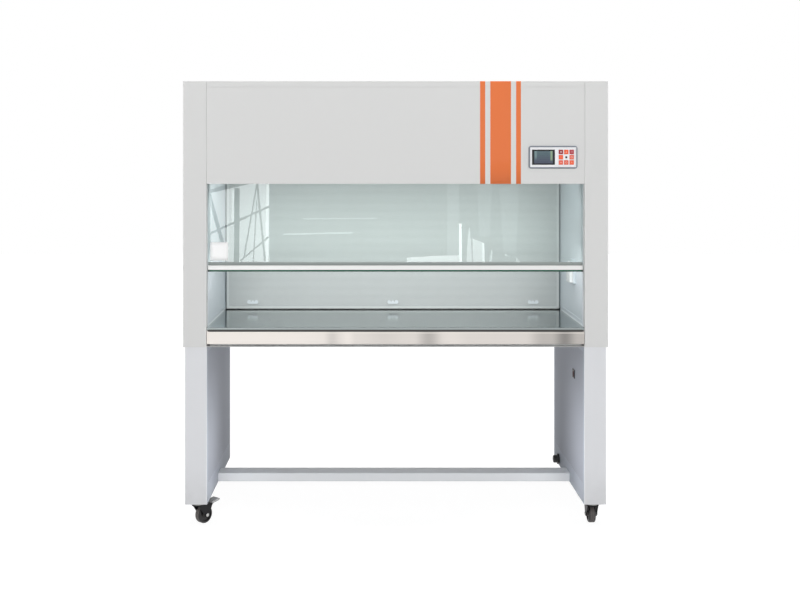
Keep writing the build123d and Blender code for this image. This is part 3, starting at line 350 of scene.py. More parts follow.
@dataclass(frozen=True)
class Steel(Finish):
    """Steel brushed along the bench: fine streaks in its tone, polish and height."""

    colour: Colour
    polish: float = 0.28
    streaks: float = 0.10
    stretch: Point = (0.012, 1.0, 1.0)
    fineness: float = 900.0

    def shader(self, g: Graph) -> Value:
        """Builds the steel."""
        streak = g.noise(self.fineness, self.stretch)
        cloud = g.noise(6.0)
        tone = g.shade(self.colour, 1.0 - self.streaks / 2 + self.streaks * streak)
        rough = self.polish + 0.12 * (streak - 0.5) + 0.08 * (cloud - 0.5)
        normal = g.bump(streak, 0.00006, 0.3)
        return g.surface(tone, Metallic=1.0, Roughness=rough, Normal=normal)


@dataclass(frozen=True)
class WorktopSteel(Finish):
    """Worktop sheet: a polished top in a dark tone of painted shade, and a pale brushed lip with
    soft bands of painted reflection and shade.

    Each band on the lip is its middle, its half width and its share of the darker tone.
    """

    top: Colour
    lip: Colour
    lip_painted_shade: Colour
    lip_top: float = WORKTOP_Z - 0.0100
    painted_highlight_z: float = WORKTOP_Z - 0.0190  # height of a painted highlight, the bright line under the dark strip in the fold
    # painted reflection and shade: lighter and darker bands of the room's reflection across the
    # lip
    painted_reflection_bands: tuple[tuple[float, float, float], ...] = (
        (-0.224, 0.035, 0.24),
        (-0.168, 0.030, -0.14),
        (-0.040, 0.080, 0.08),
        (0.117, 0.055, 0.42),
        (0.200, 0.060, -0.10),
        (0.597, 0.050, 0.42),
    )

    def shader(self, g: Graph) -> Value:
        """Builds the sheet; the lip is what stands at the front below the fold."""
        x, y, z = g.axes()
        lip = (z < self.lip_top) * (y < FRONT + 0.004)
        streak = g.noise(900.0, (0.008, 1.0, 1.0))
        slow = g.noise(2.3, (1.0, 0.0, 0.0), 3.0)
        # painted shade: the top darker towards the right, and the lip darker from its middle on
        # and again at its right end
        dim = x.ease(0.2, 0.6) * 0.10
        band = 0.22 * x.ease(-0.37, -0.05) + 0.36 * x.ease(0.455, 0.52)
        for centre, half, depth in self.painted_reflection_bands:
            band = band + depth * abs(x - centre).ease(half, 0.0)
        # painted highlight: a bright line along the lip under the fold
        painted_highlight = abs(z - self.painted_highlight_z).ease(0.0026, 0.0)
        pale = g.blend(band * (1.0 - 0.8 * painted_highlight), self.lip, self.lip_painted_shade)
        pale = g.shade(pale, 0.96 + 0.08 * streak)
        dark = g.shade(self.top, 0.94 + 0.05 * streak + 0.06 * slow - dim)
        tone = g.blend(lip, dark, pale)
        rough = 0.10 + 0.05 * streak + 0.22 * lip
        normal = g.bump(streak, 0.00003, 0.15)
        return g.surface(tone, Metallic=1.0, Roughness=rough, Normal=normal)


@dataclass(frozen=True)
class HandleAlloy(Finish):
    """Bright drawn aluminium below, and above its finger trough a brushed plate of the same
    aluminium painted grey as painted shade.
    """

    bright: Colour
    plate: Colour
    low: float = SASH_Z + 0.0235
    high: float = 1.2

    def shader(self, g: Graph) -> Value:
        """Builds the alloy; the plate runs from the trough's lip up to the lugs."""
        _, _, z = g.axes()
        # painted shade: the plate above the trough takes a grey, duller copy of the aluminium
        painted_shade_plate = (z > self.low) * (z < self.high)
        streak = g.noise(900.0, (0.01, 1.0, 1.0))
        slow = g.noise(3.0, (1.0, 0.0, 0.0), 3.0)
        tone = g.blend(painted_shade_plate, self.bright, g.shade(self.plate, 0.85 + 0.3 * slow))
        tone = g.shade(tone, 0.97 + 0.06 * streak)
        rough = 0.3 + 0.08 * streak + 0.15 * painted_shade_plate
        return g.surface(tone, Metallic=1.0 - 0.5 * painted_shade_plate, Roughness=rough)


@dataclass(frozen=True)
class SashGlass(Finish):
    """Float glass: clear faces with a faint green, dark green edges and a pale band.

    The cut edge shows through the face up to edge_top; a pale band lies above it,
    up to the band's top height, behind the handle.
    """

    tint: Colour
    edge: Colour
    pale_band: Colour
    edge_top: float = SASH_Z + 0.0075
    pale_band_top: float = SASH_Z + 0.0215

    def shader(self, g: Graph) -> Value:
        """Builds the glass.

        Both faces' reflections are given where light enters, so that the far face
        never turns into a mirror at steep angles. An edge is what doesn't face
        forward or back.
        """
        clear = g.node("BsdfTransparent", {"Color": self.tint})
        smear = g.noise(5.0, (1.0, 1.0, 0.5), 4.0)
        mirror = g.node("BsdfGlossy", {"Color": (1, 1, 1), "Roughness": 0.006})
        once = g.node("Fresnel", {"IOR": 1.5})
        leaving = g.node("NewGeometry", output="Backfacing")
        gloss = 2.0 * once / (1.0 + once) * (1.0 - leaving)
        face = g.node("MixShader", {0: gloss, 1: clear, 2: mirror})
        green = g.shade(self.edge, 0.8 + 0.4 * g.noise(60.0))
        cut = g.surface(green, Roughness=0.15 + 0.1 * smear)
        _, _, z = g.axes()
        level = abs(g.facing(1))
        rim = (level < 0.9).larger(z < self.edge_top)
        in_pale_band = (z > self.edge_top) * (z < self.pale_band_top) * (level > 0.9)
        pale_band = g.surface(g.shade(self.pale_band, 0.97 + 0.06 * smear), Roughness=0.45)
        body = g.node("MixShader", {0: in_pale_band, 1: face, 2: pale_band})
        return g.node("MixShader", {0: rim, 1: body, 2: cut})


@dataclass(frozen=True)
class Plastic(Finish):
    """Moulded or enamelled plastic with a fine grain."""

    colour: Colour
    rough: float = 0.4
    grain: float = 0.2

    def shader(self, g: Graph) -> Value:
        """Builds the plastic."""
        cloud = g.noise(18.0, detail=3.0)
        tone = g.shade(self.colour, 0.95 + 0.1 * cloud)
        normal = g.bump(g.noise(1800.0), 0.00008, self.grain)
        rough = self.rough + 0.1 * (cloud - 0.5)
        return g.surface(tone, Roughness=rough, Normal=normal)


@dataclass(frozen=True)
class Tyre(Finish):
    """Hard black tyre that has picked up grey dust on the tread it rolls on."""

    colour: Colour
    dust: Colour
    yaw: float  # the axle's turn from X, in degrees

    def shader(self, g: Graph) -> Value:
        """Builds the tyre; dust lies on the tread, which faces away from the axle."""
        patch = g.noise(70.0, detail=5.0)
        fine = g.noise(900.0)
        across, ahead, _ = g.split(g.node("TexCoord", output="Normal"))
        angle = math.radians(self.yaw)
        aside = abs(across * math.cos(angle) + ahead * math.sin(angle))
        dusty = aside.ease(0.25, 0.05) * (0.35 + 0.3 * patch)
        tone = g.blend(dusty, g.shade(self.colour, 0.85 + 0.3 * fine), self.dust)
        normal = g.bump(fine, 0.0002, 0.3)
        return g.surface(tone, Roughness=0.42 + 0.3 * dusty, Normal=normal)


@dataclass(frozen=True)
class Zinc(Finish):
    """Bright zinc with a faint crystal pattern."""

    colour: Colour

    def shader(self, g: Graph) -> Value:
        """Builds the zinc from the colours of small cells."""
        cells = g.node("TexVoronoi", {"Vector": g.place(), "Scale": 160.0}, output="Color")
        value = g.node("SeparateColor", {0: cells})
        tone = g.shade(self.colour, 0.9 + 0.2 * value)
        normal = g.bump(g.noise(300.0), 0.0001, 0.2)
        return g.surface(tone, Metallic=1.0, Roughness=0.32 + 0.15 * value, Normal=normal)


@dataclass(frozen=True)
class Fibre(Finish):
    """Matted filter fibre or board."""

    colour: Colour
    scale: float = 500.0

    def shader(self, g: Graph) -> Value:
        """Builds the fibre."""
        strand = g.noise(self.scale, (1.0, 0.3, 1.0), 6.0)
        tone = g.shade(self.colour, 0.85 + 0.3 * strand)
        normal = g.bump(strand, 0.0006, 0.6)
        return g.surface(tone, Roughness=0.85 + 0.1 * strand, Normal=normal)


@dataclass(frozen=True)
class Screen(Finish):
    """Dark display behind a black border, with dim readings and room glare."""

    middle: Pair = (0.5205, 1.312)
    half: Pair = (0.04025, 0.02675)

    def shader(self, g: Graph) -> Value:
        """Builds the display; glare is two soft upright bars near its sides."""
        x, _, z = g.axes()
        u = (x - self.middle[0]) / self.half[0]
        v = (z - self.middle[1]) / self.half[1]
        inner = abs(u).ease(0.84, 0.80) * abs(v).ease(0.84, 0.78)
        glow = g.blend(v.ease(-0.8, 0.9), paint(72, 78, 96), paint(82, 104, 110))
        left = abs(u + 0.68).ease(0.16, 0.02) * v.ease(-0.5, 0.2)
        right = abs(u - 0.70).ease(0.14, 0.02) * v.ease(-0.6, -0.2)
        glow = g.blend(left * 0.7, glow, paint(126, 150, 150))
        glow = g.blend(right * 0.8, glow, paint(150, 178, 138))
        rows = ((v * 4.0).fraction() > 0.55) * (abs(u + 0.05) < 0.5)
        text = rows * g.noise(900.0, (1.0, 1.0, 0.2)).ease(0.5, 0.56)
        glow = g.blend(text * 0.35, glow, paint(36, 40, 48))
        tone = g.blend(inner, paint(20, 22, 24), glow)
        return g.surface(tone, Roughness=0.16 + 0.1 * inner, Specular_IOR_Level=0.4)


class Mark(Enum):
    """What is printed on a key."""

    DOT = "dot"
    RING = "ring"
    ARROW = "arrow"
    MINUS = "minus"
    PLUS = "plus"
    BARS = "bars"


@dataclass(frozen=True)
class KeyFace(Finish):
    """Soft key cap with a pale mark on its face and a paler rim."""

    colour: Colour
    middle: Pair
    mark: Mark
    strength: float

    def _printed(self, u: Value, v: Value) -> Value:
        """The mark as 1 on its lines and 0 off them."""
        far = (u * u + v * v).root()
        if self.mark is Mark.DOT:
            return far.ease(2.6, 2.2)
        if self.mark is Mark.RING:
            return abs(far - 3.0).ease(0.9, 0.6)
        if self.mark is Mark.ARROW:
            return (abs(u) * 1.2 + v).ease(2.3, 2.0) * (v > -2.4)
        if self.mark is Mark.MINUS:
            return (abs(v) < 0.8) * (abs(u) < 3.0)
        if self.mark is Mark.PLUS:
            level = (abs(v) < 0.8) * (abs(u) < 3.0)
            return level.larger((abs(u) < 0.8) * (abs(v) < 3.0))
        return ((v * 0.45 + 0.25).fraction() > 0.6) * (abs(u) < 3.0) * (abs(v) < 3.4)

    def shader(self, g: Graph) -> Value:
        """Builds the cap; u and v are millimetres from the middle of its face."""
        x, _, z = g.axes()
        u = (x - self.middle[0]) * 1000.0
        v = (z - self.middle[1]) * 1000.0
        tone = g.shade(self.colour, 0.93 + 0.14 * g.noise(120.0))
        edge = abs(u).larger(abs(v)).ease(6.4, 7.4)
        tone = g.blend(edge * 0.35, tone, paint(232, 120, 96))
        tone = g.blend(self._printed(u, v) * self.strength, tone, paint(250, 236, 228))
        normal = g.bump(g.noise(900.0), 0.0001, 0.2)
        return g.surface(tone, Roughness=0.42 + 0.08 * edge, Normal=normal)


@dataclass(frozen=True)
class Overlay(Finish):
    """White keypad sheet with the black receiver eye in its middle cell."""

    colour: Colour
    eye: Pair
    eye_radius: float = 0.0042

    def shader(self, g: Graph) -> Value:
        """Builds the sheet; the eye is a black disc about its centre."""
        x, _, z = g.axes()
        u, v = x - self.eye[0], z - self.eye[1]
        black = (u * u + v * v).root().ease(self.eye_radius, self.eye_radius - 0.0005)
        tone = g.shade(self.colour, 0.97 + 0.05 * g.noise(60.0))
        tone = g.blend(black, tone, paint(18, 18, 22))
        return g.surface(tone, Roughness=0.35 - 0.2 * black)


@dataclass(frozen=True)
class Bezel(Finish):
    """Grey moulded frame whose inner margin the white keypad sheet covers."""

    colour: Colour
    sheet: Colour
    middle: Pair = (0.5547, 1.312)
    half: Pair = (0.086, 0.040)
    band: float = 0.0052

    def shader(self, g: Graph) -> Value:
        """Builds the frame; the sheet starts a band's width inside its outline."""
        x, _, z = g.axes()
        across = abs(x - self.middle[0]) - (self.half[0] - self.band)
        along = abs(z - self.middle[1]) - (self.half[1] - self.band)
        inner = (across.larger(along) < 0.0) * (g.facing(1) < -0.9)
        tone = g.blend(inner, g.shade(self.colour, 0.96 + 0.08 * g.noise(30.0)), self.sheet)
        normal = g.bump(g.noise(1800.0), 0.00008, 0.2)
        return g.surface(tone, Roughness=0.38 - 0.03 * inner, Normal=normal)


@dataclass(frozen=True)
class Vinyl(Finish):
    """Glued vinyl film, slightly glossy, with faint waves from squeezing it on."""

    colour: Colour

    def shader(self, g: Graph) -> Value:
        """Builds the film."""
        wave = g.noise(14.0, (1.0, 1.0, 0.3))
        tone = g.shade(self.colour, 0.985 + 0.03 * wave)
        normal = g.bump(wave, 0.0004, 0.15)
        return g.surface(tone, Roughness=0.33 + 0.06 * wave, Normal=normal)


# ----------------------------------------------------------------- mesh in numpy
def lattice(
    shape: Callable[[np.ndarray, np.ndarray], Surface],
    rows: int,
    columns: int,
    loop: bool = False,
) -> Mesh:
    """Points and four-sided faces of a surface of two parameters.

    Args:
        shape: Gives X, Y and Z for arrays u and v, both from 0 to 1.
        rows: Points along u.
        columns: Points along v.
        loop: True where v closes on itself.

    Returns:
        The points and the faces' point numbers.
    """
    along, across = np.linspace(0.0, 1.0, rows), np.linspace(0.0, 1.0, columns, endpoint=not loop)
    u, v = np.meshgrid(along, across, indexing="ij")
    points = np.stack([np.broadcast_to(p, u.shape) for p in shape(u, v)], axis=-1)
    sides = columns if loop else columns - 1
    i, j = np.meshgrid(np.arange(rows - 1) * columns, np.arange(sides), indexing="ij")
    beyond = (j + 1) % columns
    corners = [i + j, i + columns + j, i + columns + beyond, i + beyond]
    return points.reshape(-1, 3), np.stack(corners, axis=-1).reshape(-1, 4)


def joined(parts: Sequence[Mesh]) -> Mesh:
    """Several meshes as one."""
    points, faces, start = [], [], 0
    for some_points, some_faces in parts:
        points.append(some_points)
        faces.append(some_faces + start)
        start += len(some_points)
    return np.concatenate(points), np.concatenate(faces)


def add_mesh(
    name: str, points: Sequence[Any], faces: Sequence[Any], material: bpy.types.Material
) -> bpy.types.Object:
    """Puts a mesh with one material into the scene."""
    data = bpy.data.meshes.new(name)
    data.from_pydata(points, [], faces)
    data.materials.append(material)
    made = bpy.data.objects.new(name, data)
    bpy.context.scene.collection.objects.link(made)
    return made


def piece(
    name: str,
    mesh: Mesh,
    material: bpy.types.Material,
    body: str,
    thickness: float = 0.0,
) -> None:
    """Puts a mesh into the scene as a smoothly shaded piece that rides on a body.

    Args:
        name: The piece's name.
        mesh: Its points and faces.
        material: Its finish.
        body: The body that it rides on.
        thickness: Wall given to a sheet, drawn inwards.
    """
    points, faces = mesh
    made = add_mesh(name, points.tolist(), faces.tolist(), material)
    made.data.polygons.foreach_set("use_smooth", np.full(len(faces), True))
    made.data.validate()
    made.data.update()
    if thickness:
        wall = made.modifiers.new("wall", "SOLIDIFY")
        wall.thickness = thickness
        wall.offset = -1.0
    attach(made, body)
    LOG.info("%s: %d faces on %s", name, len(faces), body)


def pad(centre: Point, half: Point, power: float, rows: int = 13, columns: int = 24) -> Mesh:
    """A rounded block: a ball whose sines and cosines are raised to a power below 1.

    Args:
        centre: Its middle.
        half: Its half sizes along X, Y and Z.
        power: 1 for a ball, nearer 0 for a box.
        rows: Points from pole to pole.
        columns: Points round it.

    Returns:
        Its points and faces, with small discs for poles.
    """

    def bent(value: np.ndarray) -> np.ndarray:
        """The value's size raised to the power, with its sign kept."""
        return np.sign(value) * np.abs(value) ** power

    def shape(u: np.ndarray, v: np.ndarray) -> Surface:
        """From pole to pole with u and round with v."""
        tilt = (u - 0.5) * math.pi * 0.9999
        turn = v * 2.0 * math.pi
        return (
            centre[0] + half[0] * bent(np.cos(tilt)) * bent(np.cos(turn)),
            centre[1] + half[1] * bent(np.cos(tilt)) * bent(np.sin(turn)),
            centre[2] + half[2] * bent(np.sin(tilt)),
        )

    return lattice(shape, rows, columns, loop=True)


def dome(
    centre: Point, radius: float, height: float, away: float, rows: int = 7, columns: int = 20
) -> Mesh:
    """A low screw head on a face across Y: a quarter ellipse turned about Y.

    Args:
        centre: Middle of its foot.
        radius: Radius of its foot.
        height: How far it stands off.
        away: +1 where it stands towards +Y, -1 towards -Y.
        rows: Points from rim to top.
        columns: Points round it.

    Returns:
        Its points and faces.
    """

    def shape(u: np.ndarray, v: np.ndarray) -> Surface:
        """From rim to top with u and round with v."""
        rise = u * math.pi / 2 * 0.9995
        turn = v * 2.0 * math.pi * away
        return (
            centre[0] + radius * np.cos(rise) * np.cos(turn),
            centre[1] + away * height * np.sin(rise),
            centre[2] - radius * np.cos(rise) * np.sin(turn),
        )

    return lattice(shape, rows, columns, loop=True)


def turned(mesh: Mesh, angle: float, shift: Point) -> Mesh:
    """A mesh turned about Z, in radians, and then moved."""
    points, faces = mesh
    cos, sin = math.cos(angle), math.sin(angle)
    turn = np.array(((cos, sin, 0.0), (-sin, cos, 0.0), (0.0, 0.0, 1.0)))
    return points @ turn + np.array(shift), faces


# ------------------------------------------------------------------ sub-assemblies
def clothe(finish: Finish, *names: str) -> None:
    """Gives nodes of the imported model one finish.

    Args:
        finish: The finish for every slot they have.
        names: The nodes.
    """
    material = finish.material()
    for name in names:
        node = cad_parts[name]
        if not node.material_slots:
            node.data.materials.append(material)
        for spot in node.material_slots:
            spot.material = material
        LOG.info("%s dressed in %s", name, material.name)


def cushions(
    name: str, centre: Point, sizes: tuple[Point, float, int], rubber: Finish, body: str
) -> None:
    """Adds a rounded rubber block on the right and its mirror image on the left.

    Args:
        name: The pieces' name, before their side.
        centre: Middle of the right one.
        sizes: Half sizes, power and rows, as pad takes them.
        rubber: Their finish.
        body: The body that they ride on.
    """
    material = rubber.material()
    for side, hand in (("left", -1.0), ("right", 1.0)):
        mesh = pad((hand * centre[0], *centre[1:]), *sizes)
        piece(f"{name}_{side}", mesh, material, body)


@dataclass
class Cabinet:
    """Shell, fascia film, liners, diffuser and the filter and blower inside."""

    stripes: tuple[Pair, ...] = ((0.298, 0.316), (0.334, 0.407), (0.425, 0.442))
    film: float = 0.00018
    film_back: float = 0.010  # how far the film runs back over the roof
    film_under: float = 0.004  # and under the fascia
    # painted shade: a dark strip laid in the fold over the worktop's lip stands for the fold's
    # shade and dark reflection
    fold_shade_tall: float = 0.0128
    fold_shade_deep: float = 0.0032
    fold_shade_in: float = 0.0012  # from the opening's edges and the fascia's plane
    fold_shade_z: float = WORKTOP_Z - 0.0109
    seal_at: Point = (0.6640, DIFFUSER_Y + 0.0042, 0.980)
    seal_sizes: tuple[Point, float, int] = ((0.0026, 0.0030, 0.2665), 0.3, 21)
    screw_radius: float = 0.0042
    screw_height: float = 0.0008

    def dress(self) -> None:
        """Gives the model's own pieces their finishes."""
        shells = ("left_side_shell", "right_side_shell", "top_cover", "rear_cover", "fascia")
        clothe(PowderCoat("shell_coat", paint(219, 219, 218)), *shells, "worktop_frame")
        liner = Liner("wall_coat", paint(212, 220, 225), paint(240, 246, 248))
        clothe(liner, "side_liners", "ceiling_panel")
        clothe(Perforated("diffuser_sheet", paint(197, 202, 201)), "diffuser")
        mill = Steel("mill_steel", paint(190, 190, 188), 0.38, 0.08)
        clothe(mill, "fan_deck", "blower_scrolls", "blower_impellers")
        clothe(Steel("frame_alloy", paint(214, 216, 218), 0.35, 0.06), "hepa_frame")
        clothe(Fibre("filter_paper", paint(240, 240, 236), 700.0), "hepa_media")
        clothe(Fibre("filter_pad", paint(222, 224, 222), 350.0), "prefilter")
        clothe(PowderCoat("motor_coat", paint(82, 92, 102), 0.4), "blower_motor")

    def build(self) -> None:
        """Adds the fascia's stripes, a dark strip of painted shade in the worktop's fold, the rear
        screws and the seals.
        """
        film = Vinyl("orange_film", paint(226, 115, 57)).material()
        for n, (low, high) in enumerate(self.stripes):
            piece(f"stripe_{n + 1}", self._stripe(low, high), film, "bench")
        # painted shade: the dark material of the strip in the worktop's fold
        rubber = Plastic("fold_shade_dark", paint(60, 60, 58), 0.6).material()
        piece("lip_fold_shade", self._painted_fold_shade(), rubber, "bench")
        zinc = Zinc("screw_zinc", paint(205, 205, 202)).material()
        piece("rear_screws", self._screws(), zinc, "bench")
        seal = Plastic("seal_rubber", paint(110, 119, 123), 0.55)
        cushions("seal", self.seal_at, self.seal_sizes, seal, "bench")

    def _stripe(self, low: float, high: float) -> Mesh:
        """Film from over the top edge down the fascia and under it.

        X runs straight from low to high with u; with v the section follows the cover's
        top, its front and the fascia's foot, always the film's thickness off them.
        """
        off = self.film
        front, foot = FRONT - off, FASCIA_Z - off
        y = [FRONT + self.film_back, front, front, front, FRONT + self.film_under]
        z = [ROOF + off, ROOF + off, ROOF - 0.02, foot, foot]
        place = np.linspace(0.0, 1.0, len(y))

        def shape(u: np.ndarray, v: np.ndarray) -> Surface:
            """From the left edge to the right with u and down the front with v."""
            return low + (high - low) * u, np.interp(v, place, y), np.interp(v, place, z)

        points, faces = lattice(shape, 3, 17)
        return points, faces[:, ::-1]

    def _painted_fold_shade(self) -> Mesh:
        """A dark strip of painted shade and dark reflection in the fold over the lip: a flat oval
        carried along X.

        The high power keeps the oval full up to its ends, where it closes.
        """
        half, deep, tall = INNER - self.fold_shade_in, self.fold_shade_deep / 2, self.fold_shade_tall / 2
        middle, power = FRONT + self.fold_shade_in, 400

        def shape(u: np.ndarray, v: np.ndarray) -> Surface:
            """From end to end with u and round the oval with v."""
            turn = -v * 2.0 * math.pi
            along = -np.cos(math.pi * u)
            full = np.sqrt(np.clip(1.0 - along**power, 0.0001, 1.0))
            y = middle + deep * np.cos(turn) * full
            return half * along, y, self.fold_shade_z + tall * np.sin(turn) * full

        return lattice(shape, 40, 12, loop=True)

    def _screws(self) -> Mesh:
        """Heads in two upright rows and two level rows round the rear cover."""
        side, inner, low, high = 0.735, 0.49, 0.66, 1.56
        spots = [(x, z) for x in (-side, side) for z in np.linspace(low, high, 7)]
        spots += [(x, z) for x in np.linspace(-inner, inner, 5) for z in (low, high)]
        radius, height, foot = self.screw_radius, self.screw_height, REAR - 0.0001
        return joined([dome((x, foot, z), radius, height, 1.0) for x, z in spots])


@dataclass
class WorkZone:
    """Worktop, screws that hold the diffuser, lamps and the wall socket."""

    def dress(self) -> None:
        """Gives the model's own pieces their finishes."""
        # the top's dark teal tone is painted shade, and the third colour is the dark tone of the
        # lip's painted reflection bands
        top, lip, lip_painted_shade = paint(160, 168, 168), paint(229, 223, 217), paint(142, 139, 136)
        clothe(WorktopSteel("worktop_steel", top, lip, lip_painted_shade), "worktop")
        clothe(Plastic("knob_white", paint(214, 221, 224), 0.3), "wing_screws")
        clothe(Plastic("tube_frost", paint(246, 247, 250), 0.25), "lamp_tubes")
        clothe(Plastic("holder_white", paint(232, 232, 230), 0.4), "lamp_holders")
        clothe(Plastic("plate_pale", paint(214, 223, 227), 0.34), "socket_plate")
        clothe(Plastic("flap_white", paint(228, 231, 230), 0.28), "socket_flap")


@dataclass
class Sash:
    """Sliding glass, its handle, the blank label and what counterbalances it."""

    label: tuple[float, float, float, float] = (-0.6585, -0.5945, 0.9450, 1.0100)
    label_thick: float = 0.0001
    label_gap: float = 0.00012  # from the glass to the label's face
    pad_at: Point = (INNER - 0.0030, GLASS_FACE + 0.0025, SASH_Z + 0.0032)
    pad_sizes: tuple[Point, float, int] = ((0.0028, 0.0048, 0.0036), 0.35, 13)

    def dress(self) -> None:
        """Gives the model's own pieces their finishes."""
        tint, edge, pale_band = (0.945, 0.972, 0.962), paint(34, 84, 66), paint(238, 238, 237)
        clothe(SashGlass("sash_glass", tint, edge, pale_band), "sash_glass")
        # the second colour is the painted shade on the handle's upper plate
        bright, plate = paint(227, 227, 226), paint(150, 157, 155)
        clothe(HandleAlloy("handle_alloy", bright, plate), "sash_handle")
        # painted light: the guides are given a whiter colour against the shade they stand in
        clothe(Plastic("guide_white_painted_light", paint(240, 243, 248), 0.35), "sash_guides")
        clothe(PowderCoat("weight_coat", paint(70, 72, 74), 0.55), "sash_weights")
        cable = Steel("cable_steel", paint(170, 170, 168), 0.4)
        clothe(cable, "sash_front_cables", "sash_rear_cables")
        clothe(Steel("shaft_steel", paint(196, 196, 194), 0.3), "pulley_shaft", "shaft_brackets")

    def build(self) -> None:
        """Adds the blank label and the rubber pads on the glass's low corners."""
        x0, x1, z0, z1 = self.label
        face = GLASS_FACE - self.label_gap

        def shape(u: np.ndarray, v: np.ndarray) -> Surface:
            """A flat sheet: X along u and Z along v."""
            return x0 + (x1 - x0) * u, face + 0 * u, z0 + (z1 - z0) * v

        paper = Plastic("label_paper", paint(255, 255, 255), 0.5).material()
        sheet = lattice(shape, 5, 5)
        piece("blank_label", sheet, paper, "sash", thickness=self.label_thick)
        rubber = Plastic("pad_rubber", paint(26, 50, 43), 0.5)
        cushions("pad", self.pad_at, self.pad_sizes, rubber, "sash")


@dataclass
class ControlPanel:
    """Bezel, keypad, display and eight keys."""

    columns: Point = (0.5819, 0.6009, 0.6199)
    rows: Point = (1.3305, 1.3120, 1.2935)

    def dress(self) -> None:
        """Gives each piece its finish, and each key its colour and mark."""
        grey, sheet = paint(122, 128, 137), paint(242, 242, 244)
        clothe(Bezel("bezel_grey", grey, sheet), "control_bezel")
        clothe(Overlay("overlay_white", sheet, (self.columns[1], self.rows[1])), "keypad_overlay")
        clothe(Screen("display"), "display_window")
        clothe(Plastic("board_green", paint(52, 104, 74), 0.5), "control_board")
        orange, coral, brick = paint(240, 96, 56), paint(226, 104, 84), paint(224, 90, 62)
        dark, crimson = paint(146, 40, 48), paint(172, 48, 64)
        keys = (
            ("fan_key", 0, 0, dark, Mark.DOT, 0.9),
            ("lamp_key", 1, 0, orange, Mark.ARROW, 0.45),
            ("uv_key", 2, 0, crimson, Mark.RING, 0.25),
            ("menu_key", 0, 1, orange, Mark.BARS, 0.2),
            ("socket_key", 2, 1, coral, Mark.RING, 0.4),
            ("minus_key", 0, 2, coral, Mark.MINUS, 0.6),
            ("set_key", 1, 2, brick, Mark.RING, 0.4),
            ("plus_key", 2, 2, orange, Mark.PLUS, 0.3),
        )
        for name, column, row, colour, mark, strength in keys:
            middle = (self.columns[column], self.rows[row])
            clothe(KeyFace(f"{name}_cap", colour, middle, mark, strength), name)


@dataclass(frozen=True)
class Caster:
    """Where a caster's swivel stands and how far it is turned, in degrees."""

    corner: str
    x: float
    y: float
    yaw: float


@dataclass
class Stand:
    """Legs, stretcher, mains fittings and the four casters."""

    casters: tuple[Caster, ...] = (
        Caster("front_left", -0.705, FRONT + 0.055, -41.0),
        Caster("front_right", 0.705, FRONT + 0.055, 0.0),
        Caster("rear_left", -0.705, FRONT + 0.590, 5.0),
        Caster("rear_right", 0.705, FRONT + 0.590, -12.0),
    )
    trail: float = 0.026
    axle_height: float = 0.0315
    axle_end: float = 0.0215  # fork's middle to the end of its axle
    rivet_radius: float = 0.0062
    rivet_height: float = 0.0021

    def dress(self) -> None:
        """Gives the model's own pieces their finishes."""
        # the second colour, rim, is painted shade for the legs' faces turned to the bench's middle
        pale, rim = paint(226, 227, 230), paint(172, 178, 189)
        legs = PowderCoat("leg_coat", pale, floor_darkening=0.2, floor_darkening_top=0.25, painted_shade_inward=rim)
        clothe(legs, "left_leg", "right_leg")
        # painted shade: the inner panels share the legs' white coat and are given a darker colour
        clothe(PowderCoat("panel_coat_painted_shade", paint(160, 164, 174)), "leg_inner_panels")
        # painted light: the stretcher shares the legs' white coat and is given a lighter colour
        # against the shade under the cabinet
        clothe(PowderCoat("bar_coat_painted_light", paint(238, 240, 243)), "stretcher_bar")
        clothe(Zinc("plate_zinc", paint(150, 150, 148)), "stand_bolts", "caster_plates")
        forks = [f"{caster.corner}_fork" for caster in self.casters]
        clothe(PowderCoat("caster_black", paint(24, 24, 26), 0.42), *forks)
        rubber, dust = paint(24, 23, 24), paint(112, 106, 104)
        for caster in self.casters:
            tyre = Tyre(f"{caster.corner}_tyre", rubber, dust, caster.yaw)
            clothe(tyre, f"{caster.corner}_wheel")
        grey = Plastic("pedal_grey", paint(164, 164, 164), 0.45)
        clothe(grey, "front_left_pedal", "front_right_pedal")
        clothe(Plastic("fitting_black", paint(34, 34, 36), 0.45), "mains_fittings")
        clothe(Plastic("rocker_red", paint(64, 36, 42), 0.3), "power_rocker")

    def build(self) -> None:
        """Adds the riveted ends of the casters' axles, on the forks' outer faces."""
        zinc = Zinc("rivet_zinc", paint(196, 196, 194)).material()
        for caster in self.casters:
            ends = joined([self._rivet(caster, hand) for hand in (-1.0, 1.0)])
            corner = caster.corner
            piece(f"{corner}_rivets", ends, zinc, f"{corner}_swivel")

    def _rivet(self, caster: Caster, hand: float) -> Mesh:
        """The axle's end on one side: a low dome that looks out along the axle."""
        angle, side = math.radians(caster.yaw), hand * self.axle_end
        foot = (
            caster.x + side * math.cos(angle) - self.trail * math.sin(angle),
            caster.y + side * math.sin(angle) + self.trail * math.cos(angle),
            self.axle_height,
        )
        head = dome((0.0, 0.0, 0.0), self.rivet_radius, self.rivet_height, -1.0)
        return turned(head, angle + hand * math.pi / 2, foot)


# -------------------------------------------------------------------- the studio
def hang(data: bpy.types.Light, way: Sequence[float]) -> bpy.types.Object:
    """Puts a light into the scene, shining along a direction; mirrors don't see it."""
    lamp = bpy.data.objects.new(data.name, data)
    flat = math.hypot(way[0], way[1])
    lamp.rotation_euler = (math.atan2(flat, -way[2]), 0.0, math.atan2(-way[0], way[1]))
    lamp.visible_glossy = False
    bpy.context.scene.collection.objects.link(lamp)
    return lamp


@dataclass(frozen=True)
class Sun:
    """A broad even light from one side."""

    name: str
    towards: Point  # from the bench to the light
    energy: float  # watts per square metre
    angle: float  # how wide it looks from the bench, in degrees

    def build(self) -> None:
        """Adds the light."""
        data = bpy.data.lights.new(self.name, "SUN")
        data.energy = self.energy
        data.angle = math.radians(self.angle)
        hang(data, [-c for c in self.towards])


